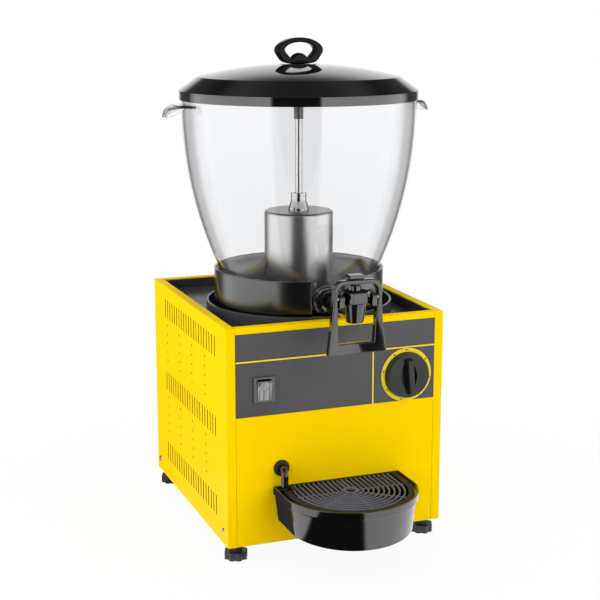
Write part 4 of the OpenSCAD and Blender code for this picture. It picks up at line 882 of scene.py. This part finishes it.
# Cooling cylinder
# A drawn stainless cylinder on the deck, brushed round and round, with the pump's bell
# on top, a bright spray tube and a grey spray head. A rubber sleeve seals the bowl to it.
STEEL = (0.645, 0.640, 0.635)
STEEL_DARK = (0.585, 0.581, 0.577)
TUBE_STEEL = (0.60, 0.60, 0.60)
HEAD_GREY = (0.13, 0.13, 0.135)
WHEEL_WHITE = (0.75, 0.75, 0.74)

brushed, brushed_tree, brushed_shader = surface("brushed_stainless", STEEL, 0.26, 1.0)
brush_lines = grain(brushed_tree, 300.0, 2.0, (0.02, 0.02, 14.0))
vary_colour(brushed_tree, brushed_shader, brush_lines, STEEL_DARK, STEEL)
vary_roughness(brushed_tree, brushed_shader, brush_lines, 0.30, 0.36)
emboss(brushed_tree, brushed_shader, brush_lines, 0.015, 0.00003)
finished("cooling_cylinder", "brushed_cylinder", brushed, 0.0004, 2)
bright_steel = plated("bright_tube_steel", STEEL_DARK, TUBE_STEEL, 0.18)
finished("pump_bell", "waisted_pump_bell", bright_steel, 0.0004, 3)
finished("spray_tube", "bright_spray_tube", bright_steel, 0.0002, 2)
head_grey = gloss_moulding("spray_head_grey", HEAD_GREY, 0.3, 0.36)
finished("spray_head", "grey_spray_head", head_grey, 0.0006, 3)
dress(plain("pump_wheel_white", WHEEL_WHITE, 90.0, 0.35, 0.45), "impeller")
dress(mount_rubber, "bowl_gasket")

# Bowl
# One clear moulding, 3 mm thick: a flared wall on a rounded base, an oblong outlet boss at
# the front of the base, and a hood-shaped lifting ear on each side below the rim.
BOWL_Z = 0.290
BOWL_RIM = 0.146
BOWL_NECK = 0.102
BOWL_NECK_H = 0.043
BOWL_H = 0.2565
BOWL_CURVE = 2.15
BOWL_WALL = 0.0030
BOWL_FLOOR = 0.0040
BOWL_HOLE = 0.046
BOWL_SOLE = 0.072
BOWL_STEPS = 36
BOWL_BASE_STEPS = 12
BOWL_TURN_STEPS = 192
ROOM_CUT_IN = 0.004
ROOM_CUT_UP = 0.01
BOSS_FRONT = -0.077
BOSS_BACK = -0.040
BOSS_Z = 0.308
BOSS_HALF_H = 0.018
BOSS_SIDE = 0.003
BOSS_RIM = 0.003
BOSS_POCKET = 0.004
BOSS_BORE = 0.0083
BOSS_BORE_FLAT = 0.0001
BOSS_STEPS = 24
BOSS_CUT = 0.002
EAR_TOP = 0.5395
EAR_HALF = 0.033
EAR_OUT = 0.0272
EAR_CURL = 0.0145
EAR_THICK = 0.0028
EAR_ROUNDING = 0.97
EAR_POWER = 3.0
EAR_SINK = 0.0018
EAR_ROWS = 24
EAR_SHELF_STEPS = 4
EAR_CURL_STEPS = 12
CLEAR_TINT = (0.975, 0.98, 0.985)
CLEAR_DEEP = (0.78, 0.78, 0.79)
CLEAR_DENSITY = 85.0


def bowl_outer(drawn_in, floor_h):
    points = []
    for step in range(BOWL_BASE_STEPS):
        turn = math.radians(90.0 - 90.0 * step / BOWL_BASE_STEPS)
        points.append((BOWL_SOLE - drawn_in + (BOWL_NECK - BOWL_SOLE) * math.cos(turn),
                       BOWL_NECK_H - (BOWL_NECK_H - floor_h) * math.sin(turn)))
    for step in range(BOWL_STEPS + 1):
        h = BOWL_NECK_H + (BOWL_H - BOWL_NECK_H) * step / BOWL_STEPS
        fall = ((BOWL_H - h) / (BOWL_H - BOWL_NECK_H)) ** BOWL_CURVE
        points.append((BOWL_RIM - (BOWL_RIM - BOWL_NECK) * fall - drawn_in, h))
    return points


def boss_block(half_h, side, front, back, name):
    bm = bmesh.new()
    outline = []
    for step in range(BOSS_STEPS + 1):
        turn = math.radians(-90.0 + 180.0 * step / BOSS_STEPS)
        outline.append((side + half_h * math.cos(turn), half_h * math.sin(turn)))
    outline += [(-x, z) for x, z in reversed(outline)]
    face = filled_outline(bm, [(x, front, BOSS_Z + z) for x, z in outline])
    extruded(bm, face, (0.0, back - front, 0.0))
    return new_mesh(name, bm)


def ear_hood(side):
    bm = bmesh.new()
    steps = EAR_SHELF_STEPS + EAR_CURL_STEPS
    bmesh.ops.create_grid(bm, x_segments=EAR_ROWS, y_segments=steps, size=1.0)
    for vert in bm.verts:
        along = round((vert.co.y + 1.0) / 2 * steps)
        y = EAR_HALF * vert.co.x
        size = 1.0 - EAR_ROUNDING * abs(vert.co.x) ** EAR_POWER
        root = math.sqrt((BOWL_RIM - EAR_SINK) ** 2 - y * y)
        curl = EAR_CURL * size
        shelf = BOWL_RIM + EAR_OUT * size - curl
        reach = root + (shelf - root) * min(along / EAR_SHELF_STEPS, 1.0)
        turn = math.radians(90.0 * max(along - EAR_SHELF_STEPS, 0) / EAR_CURL_STEPS)
        x = reach + curl * math.sin(turn)
        vert.co = (-x, BOWL_Y + y, EAR_TOP - curl * (1.0 - math.cos(turn)))
    bmesh.ops.recalc_face_normals(bm, faces=bm.faces)
    bmesh.ops.solidify(bm, geom=bm.faces[:], thickness=EAR_THICK)
    bmesh.ops.scale(bm, vec=(-side, 1.0, 1.0), verts=bm.verts)
    return new_mesh("ear_hood", bm)


bowl_place = (0.0, BOWL_Y, BOWL_Z)
solid_outline = [(BOWL_HOLE, 0.0)] + bowl_outer(0.0, 0.0) + [(BOWL_HOLE, BOWL_H)]
bowl_mesh = new_mesh("bowl_solid", spun(solid_outline, BOWL_TURN_STEPS, bowl_place))
room_hole = BOWL_HOLE - ROOM_CUT_IN
room_top = BOWL_H + ROOM_CUT_UP
room_outline = [(room_hole, BOWL_FLOOR)] + bowl_outer(BOWL_WALL, BOWL_FLOOR)
room_outline += [(BOWL_RIM - BOWL_WALL, room_top), (room_hole, room_top)]
room_mesh = new_mesh("bowl_room", spun(room_outline, BOWL_TURN_STEPS, bowl_place))
boss = boss_block(BOSS_HALF_H, BOSS_SIDE, BOSS_FRONT, BOSS_BACK, "outlet_boss")
cut_front = BOSS_FRONT - BOSS_CUT
pocket_back = BOSS_FRONT + BOSS_POCKET
pocket = boss_block(BOSS_HALF_H - BOSS_RIM, BOSS_SIDE, cut_front, pocket_back, "boss_pocket")
bore = boss_block(BOSS_BORE, BOSS_BORE_FLAT, cut_front, BOSS_BACK + 2 * BOSS_CUT, "boss_bore")
bowl_mesh = combined(bowl_mesh, boss, "UNION")
for cutter in (room_mesh, pocket, bore):
    bowl_mesh = combined(bowl_mesh, cutter, "DIFFERENCE")
for side in (-1.0, 1.0):
    bowl_mesh = combined(bowl_mesh, ear_hood(side), "UNION")
smooth_piece(bowl_mesh, 30.0)
clear, clear_tree, clear_shader = surface("clear_moulding", CLEAR_TINT, 0.03)
clear_shader.inputs["Transmission Weight"].default_value = 1.0
clear_shader.inputs["IOR"].default_value = 1.45
vary_roughness(clear_tree, clear_shader, grain(clear_tree, 30.0, 2.0), 0.012, 0.03)
clear_depth = clear_tree.nodes.new("ShaderNodeVolumeAbsorption")
clear_depth.inputs["Color"].default_value = (*CLEAR_DEEP, 1.0)
clear_depth.inputs["Density"].default_value = CLEAR_DENSITY
clear_tree.links.new(clear_depth.outputs["Volume"], clear_tree.nodes["Material Output"].inputs["Volume"])
stand_in(bowl_mesh, "clear_bowl", clear, "bowl", "bowl_lower", "bowl_base", "bowl_ears")

# Tap
# Black moulded tap: a ribbed nut holds it in the boss, a hexagonal bonnet with a neck closes
# its valve, and a hollowed push-back lever on two pins lifts the plunger's cap.
TAP_Y = -0.1535
CONE_TOP_Z = 0.3228
CONE_LOW_Z = 0.2990
CONE_TOP = 0.0134
CONE_LOW = 0.0102
CONE_MOUTH = 0.0060
CONE_EDGE = 0.0010
CONE_STEPS = 96
FLANGE_LOW_Z = 0.3196
FLANGE_RADIUS = 0.0145
FLANGE_EDGE = 0.0008
BARREL_RADIUS = 0.0100
BARREL_BORE = 0.0045
BARREL_STEPS = 64
BARREL_BACK = -0.0840
BARREL_Z = 0.3080
ARM_HALF = 0.0235
ARM_HALF_DEPTH = 0.0035
ARM_LOW_Z = FLANGE_LOW_Z - FLANGE_EDGE
ARM_TOP_Z = CONE_TOP_Z - FLANGE_EDGE / 2
EAR_PLATE = 0.0063
PIVOT_Y = -0.1605
PIVOT_Z = 0.3290
PIVOT_EYE = 0.0048
EAR_PLATE_TOP_Z = PIVOT_Z - 0.0010
BONNET_WIDER = 1.14
BONNET_TOP_FACING = 0.9
NECK_RADIUS = 0.0073
NECK_BORE = 0.0066
NECK_LOW_Z = 0.3335
NECK_TOP_Z = 0.3425
NECK_EDGE = 0.0010
NECK_EDGE_IN = 0.0003
NECK_STEPS = 64
LOOP_X = 0.0162
LOOP_Y = -0.1570
LOOP_Z = 0.3310
LOOP_RADIUS = 0.0050
LOOP_THICKNESS = 0.0017
LEVER_FOOT = 0.0365
LEVER_HEAD = 0.0298
LEVER_LOW_Z = 0.2630
LEVER_TOP_Z = 0.3503
LEVER_CORNER = 0.0120
LEVER_FLARE = 1.6
LEVER_FRONT = -0.1635
LEVER_THICK = 0.0090
LEVER_STEPS = 10
WINDOW_FOOT = 0.0222
WINDOW_HEAD = 0.0250
WINDOW_LOW_Z = 0.2755
WINDOW_TOP_Z = 0.3450
WINDOW_CORNER = 0.0100
LEVER_EDGE = 0.0014
LEVER_HOLLOW = 0.0095
LEVER_HOLLOW_DROP = 0.0018
LEVER_HOLLOW_TOP_Z = 0.3450
LEVER_HOLLOW_RUN = 0.0600
LEVER_HOLLOW_CREST = 0.01
STEM_ROOM = 0.0062
STEM_ROOM_DEPTH = 0.0045
PRONG_IN = 0.0050
PRONG_OUT = 0.0100
PRONG_LOW_Z = 0.3470
PRONG_BACK = -0.1465
SEAL_RED = (0.35, 0.04, 0.03)

tap_black = gloss_moulding("tap_black", GLOSS_BLACK, 0.07, 0.12)
finished("tap_washer", "outlet_washer", mount_rubber, 0.0002)
finished("tap_nut", "ribbed_outlet_nut", tap_black, 0.0004, 2)


def facing_side(x, y, z):
    return Matrix.Translation((x, y, z)) @ Matrix.Rotation(math.radians(90.0), 4, "Y")


flange_in = FLANGE_RADIUS - FLANGE_EDGE
tap_bm = spun([(CONE_MOUTH, CONE_LOW_Z), (CONE_LOW - FLANGE_EDGE, CONE_LOW_Z),
               (CONE_LOW, CONE_LOW_Z + CONE_EDGE), (CONE_TOP, FLANGE_LOW_Z), (flange_in, FLANGE_LOW_Z),
               (FLANGE_RADIUS, FLANGE_LOW_Z + FLANGE_EDGE), (FLANGE_RADIUS, CONE_TOP_Z - FLANGE_EDGE),
               (flange_in, CONE_TOP_Z), (CONE_MOUTH, CONE_TOP_Z)], CONE_STEPS, (0.0, TAP_Y, 0.0))
barrel_length = BARREL_BACK - TAP_Y
barrel_bm = spun([(BARREL_BORE, 0.0), (BARREL_RADIUS, 0.0), (BARREL_RADIUS, barrel_length),
                  (BARREL_BORE, barrel_length)], BARREL_STEPS)
laid_back = Matrix.Rotation(math.radians(-90.0), 3, "X")
bmesh.ops.rotate(barrel_bm, cent=(0, 0, 0), matrix=laid_back, verts=barrel_bm.verts)
bmesh.ops.translate(barrel_bm, verts=barrel_bm.verts, vec=(0.0, TAP_Y, BARREL_Z))
tap_mesh = combined(new_mesh("tap_cone", tap_bm), new_mesh("tap_barrel", barrel_bm), "UNION")
arms_bm = bmesh.new()
bar_between(arms_bm, (-ARM_HALF, TAP_Y - ARM_HALF_DEPTH, ARM_LOW_Z),
            (ARM_HALF, TAP_Y + ARM_HALF_DEPTH, ARM_TOP_Z))
for side in (-1.0, 1.0):
    ear_middle = side * (ARM_HALF - EAR_PLATE / 2)
    bar_between(arms_bm, (ear_middle - EAR_PLATE / 2, PIVOT_Y - ARM_HALF_DEPTH, ARM_LOW_Z),
                (ear_middle + EAR_PLATE / 2, TAP_Y + ARM_HALF_DEPTH, EAR_PLATE_TOP_Z))
    bmesh.ops.create_cone(arms_bm, cap_ends=True, segments=40, radius1=PIVOT_EYE, radius2=PIVOT_EYE,
                          depth=EAR_PLATE, matrix=facing_side(ear_middle, PIVOT_Y, PIVOT_Z))
softened(arms_bm, 0.0005, 2, 40.0)
joined_bm = bmesh.new()
joined_bm.from_mesh(tap_mesh)
joined_bm.from_mesh(new_mesh("tap_arms", arms_bm))
built("tap_barrel_and_nozzle", joined_bm, tap_black, "tap_body")
bonnet_mesh = rounded_mesh(frame["nodes"]["tap_bonnet"].data, "hexagonal_bonnet", 0.0011, 3)
for vert in bonnet_mesh.vertices:
    vert.co.x *= BONNET_WIDER
    vert.co.y = TAP_Y + (vert.co.y - TAP_Y) * BONNET_WIDER
smooth_piece(bonnet_mesh)
stand_in(bonnet_mesh, "hexagonal_bonnet", tap_black, "tap_bonnet")
# The bonnet's upward faces take the same second black, painted shade that takes away their reflection;
# the bonnet is one glossy moulding.
second_coat(bonnet_mesh, painted_shade_black, lambda polygon: polygon.normal.z > BONNET_TOP_FACING)
neck_bm = spun([(NECK_BORE, NECK_LOW_Z), (NECK_RADIUS, NECK_LOW_Z),
                (NECK_RADIUS, NECK_TOP_Z - NECK_EDGE),
                (NECK_RADIUS - NECK_EDGE_IN, NECK_TOP_Z - NECK_EDGE_IN),
                (NECK_RADIUS - NECK_EDGE, NECK_TOP_Z), (NECK_BORE, NECK_TOP_Z)],
               NECK_STEPS, (0.0, TAP_Y, 0.0))
added("bonnet_neck", neck_bm, tap_black, "container")
finished("tap_plunger", "plunger_and_cap", tap_black, 0.0010, 3)
dress(zinc, "lever_pins")
spring = stand_in(frame["nodes"]["tap_spring"].data.copy(), "plunger_spring", zinc, "tap_spring")
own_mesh(spring)
dress(plain("seal_red", SEAL_RED, 120.0, 0.45, 0.6), "tap_seal")

loops_bm = bmesh.new()
for side in (-1.0, 1.0):
    start = facing_side(side * LOOP_X, LOOP_Y, LOOP_Z - LOOP_RADIUS)
    ring = bmesh.ops.create_circle(loops_bm, segments=14, radius=LOOP_THICKNESS, matrix=start)["verts"]
    ring_edges = list({edge for vert in ring for edge in vert.link_edges})
    bmesh.ops.spin(loops_bm, geom=ring + ring_edges, cent=(side * LOOP_X, LOOP_Y, LOOP_Z),
                   axis=(0, 1, 0), angle=-side * math.pi, steps=24)
bmesh.ops.holes_fill(loops_bm, edges=[e for e in loops_bm.edges if e.is_boundary], sides=0)
added("tap_side_loops", loops_bm, tap_black, "container")


def lever_outline(foot, head, low, high, corner, flare):
    side_top = high - corner
    right = [(foot * step / LEVER_STEPS, low) for step in range(LEVER_STEPS + 1)]
    for step in range(1, LEVER_STEPS + 1):
        share = step / LEVER_STEPS
        right.append((head + (foot - head) * (1.0 - share) ** flare, low + (side_top - low) * share))
    for step in range(1, LEVER_STEPS + 1):
        turn = math.radians(90.0 * step / LEVER_STEPS)
        right.append((head - corner + corner * math.cos(turn), side_top + corner * math.sin(turn)))
    for step in range(1, LEVER_STEPS + 1):
        right.append(((head - corner) * (1.0 - step / LEVER_STEPS), high))
    left = [(-x, z) for x, z in reversed(right[1:-1])]
    return [(x, LEVER_FRONT, z) for x, z in right + left]


lever_bm = bmesh.new()
lever_points = lever_outline(LEVER_FOOT, LEVER_HEAD, LEVER_LOW_Z, LEVER_TOP_Z, LEVER_CORNER, LEVER_FLARE)
window_points = lever_outline(WINDOW_FOOT, WINDOW_HEAD, WINDOW_LOW_Z, WINDOW_TOP_Z, WINDOW_CORNER, 1.0)
lever_rims = outline_edges(lever_bm, lever_points)[1] + outline_edges(lever_bm, window_points)[1]
lever_face = bmesh.ops.bridge_loops(lever_bm, edges=lever_rims)["faces"]
extruded(lever_bm, lever_face, (0.0, LEVER_THICK, 0.0))
softened(lever_bm, LEVER_EDGE, 3, 50.0)
for vert in lever_bm.verts:
    across = vert.co.x / LEVER_FOOT
    run = min(max((LEVER_HOLLOW_TOP_Z - vert.co.z) / LEVER_HOLLOW_RUN, 0.0), 1.0)
    if vert.co.y > LEVER_FRONT + LEVER_THICK / 2 and vert.co.z > WINDOW_TOP_Z - 0.001:
        vert.co.y -= STEM_ROOM_DEPTH * max(1.0 - (vert.co.x / STEM_ROOM) ** 2, 0.0)
    crest = max(1.0 - math.sqrt(across * across + LEVER_HOLLOW_CREST), 0.0)
    hollow = run * run * (3.0 - 2.0 * run) * crest
    vert.co.y += LEVER_HOLLOW * hollow
    vert.co.z -= LEVER_HOLLOW_DROP * hollow
prongs_bm = bmesh.new()
bar_between(prongs_bm, (PRONG_IN, PIVOT_Y, PRONG_LOW_Z), (PRONG_OUT, PRONG_BACK, LEVER_TOP_Z))
bar_between(prongs_bm, (-PRONG_OUT, PIVOT_Y, PRONG_LOW_Z), (-PRONG_IN, PRONG_BACK, LEVER_TOP_Z))
softened(prongs_bm, 0.0006, 2, 40.0)
lever_bm.from_mesh(new_mesh("lever_prongs", prongs_bm))
built("push_back_lever", lever_bm, tap_black, "tap_lever")

# Lid
# A glossy black moulded lid with an upright band, a sloping shoulder and a low dome.
LID_EDGE = 0.0009
LID_OUTER = 0.1485
LID_SHOULDER = 0.1247
LID_BAND = 0.0110
LID_SLOPE = 0.0165
LID_DOME = 0.0150
LID_WALL = 0.0030
LID_LAP = 0.0030
LID_INNER = 0.1466
LID_LEDGE = 0.1376
LID_PAD = 0.0230
LID_BORE = 0.0031
LID_DOME_STEPS = 14
LID_LEDGE_RISE = 0.0034
LID_STEPS = 192
LID_CREASE = 18.0

lid_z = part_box("lid_skirt")[0].z
lid_top = LID_BAND + LID_SLOPE + LID_DOME
dome_radius = (LID_SHOULDER ** 2 + LID_DOME ** 2) / (2 * LID_DOME)


def dome_height(r):
    return lid_top - dome_radius + math.sqrt(dome_radius ** 2 - r ** 2)


lid_outline = [(LID_INNER, 0.0), (LID_OUTER, 0.0), (LID_OUTER, LID_BAND)]
for step in range(LID_DOME_STEPS + 1):
    r = LID_SHOULDER + (LID_PAD - LID_SHOULDER) * step / LID_DOME_STEPS
    lid_outline.append((r, dome_height(r)))
lid_outline += [(LID_PAD, lid_top), (LID_BORE, lid_top), (LID_BORE, lid_top - LID_WALL)]
for step in range(LID_DOME_STEPS + 1):
    r = LID_PAD + (LID_SHOULDER - LID_WALL - LID_PAD) * step / LID_DOME_STEPS
    lid_outline.append((r, dome_height(r) - LID_WALL))
lid_outline += [(LID_LEDGE, LID_BAND + LID_LEDGE_RISE), (LID_LEDGE, LID_LAP), (LID_INNER, LID_LAP)]
lid_bm = spun(lid_outline, LID_STEPS, (0.0, BOWL_Y, lid_z))
bmesh.ops.remove_doubles(lid_bm, verts=lid_bm.verts, dist=1e-6)
lid_bend = math.radians(LID_CREASE)
lid_creases = [e for e in lid_bm.edges if e.is_manifold and e.calc_face_angle() > lid_bend]
bevelled(lid_bm, lid_creases, LID_EDGE, 4)
lid_black = gloss_moulding("lid_black", GLOSS_BLACK, 0.04, 0.07)
built("domed_lid", lid_bm, lid_black, "lid", "lid_skirt")

# Lid handle
# A moulded loop with a broad arched top and legs that draw in to a narrow foot. A domed
# button sits in the loop, over the screw that holds the handle from below.
HANDLE_HALF_W = 0.0310
HANDLE_SHOULDER = 0.0150
HANDLE_TOP = 0.0320
HANDLE_FOOT = 0.0205
HANDLE_HOLE_W = 0.0205
HANDLE_HOLE_TOP = 0.0262
HANDLE_HOLE_FOOT = 0.0095
HANDLE_BAR = 0.0042
HANDLE_HALF_T = 0.0070
HANDLE_EDGE = 0.0022
HANDLE_ARC = 28
HANDLE_LEG = 6
HANDLE_HOLE_RISE = 0.001
HANDLE_SOFTENING = 3
HANDLE_SHEEN = 0.18

handle_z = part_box("lid_handle")[0].z


def handle_loop(bm, half_w, shoulder, top, foot_w, foot_z):
    points = []
    for step in range(HANDLE_ARC + 1):
        turn = math.pi * step / HANDLE_ARC
        points.append((half_w * math.cos(turn), shoulder + (top - shoulder) * math.sin(turn)))
    shares = [step / HANDLE_LEG for step in range(1, HANDLE_LEG + 1)]
    draw_in = half_w - foot_w
    points += [(-half_w + draw_in * share, shoulder + (foot_z - shoulder) * share) for share in shares]
    points += [(-foot_w + 2 * foot_w * share, foot_z) for share in shares]
    points += [(foot_w + draw_in * share, foot_z + (shoulder - foot_z) * share) for share in shares[:-1]]
    corners, edges = outline_edges(bm, [(x, BOWL_Y - HANDLE_HALF_T, handle_z + z) for x, z in points])
    for _ in range(HANDLE_SOFTENING):
        bmesh.ops.smooth_vert(bm, verts=corners, factor=0.5, use_axis_x=True, use_axis_z=True)
    return edges


handle_bm = bmesh.new()
rim = handle_loop(handle_bm, HANDLE_HALF_W, HANDLE_SHOULDER, HANDLE_TOP, HANDLE_FOOT, 0.0)
hole = handle_loop(handle_bm, HANDLE_HOLE_W, HANDLE_SHOULDER + HANDLE_HOLE_RISE, HANDLE_HOLE_TOP,
                   HANDLE_HOLE_FOOT, HANDLE_BAR)
handle_faces = bmesh.ops.bridge_loops(handle_bm, edges=rim + hole)["faces"]
extruded(handle_bm, handle_faces, (0.0, 2 * HANDLE_HALF_T, 0.0))
softened(handle_bm, HANDLE_EDGE, 4, 50.0)
handle_black = gloss_moulding("handle_black", GLOSS_BLACK, 0.10, 0.16, HANDLE_SHEEN, 0.0)
built("lid_loop_handle", handle_bm, handle_black, "lid_handle")
finished("handle_button", "lid_handle_button", handle_black, 0.0008, 3)
dress(zinc, "handle_screw")
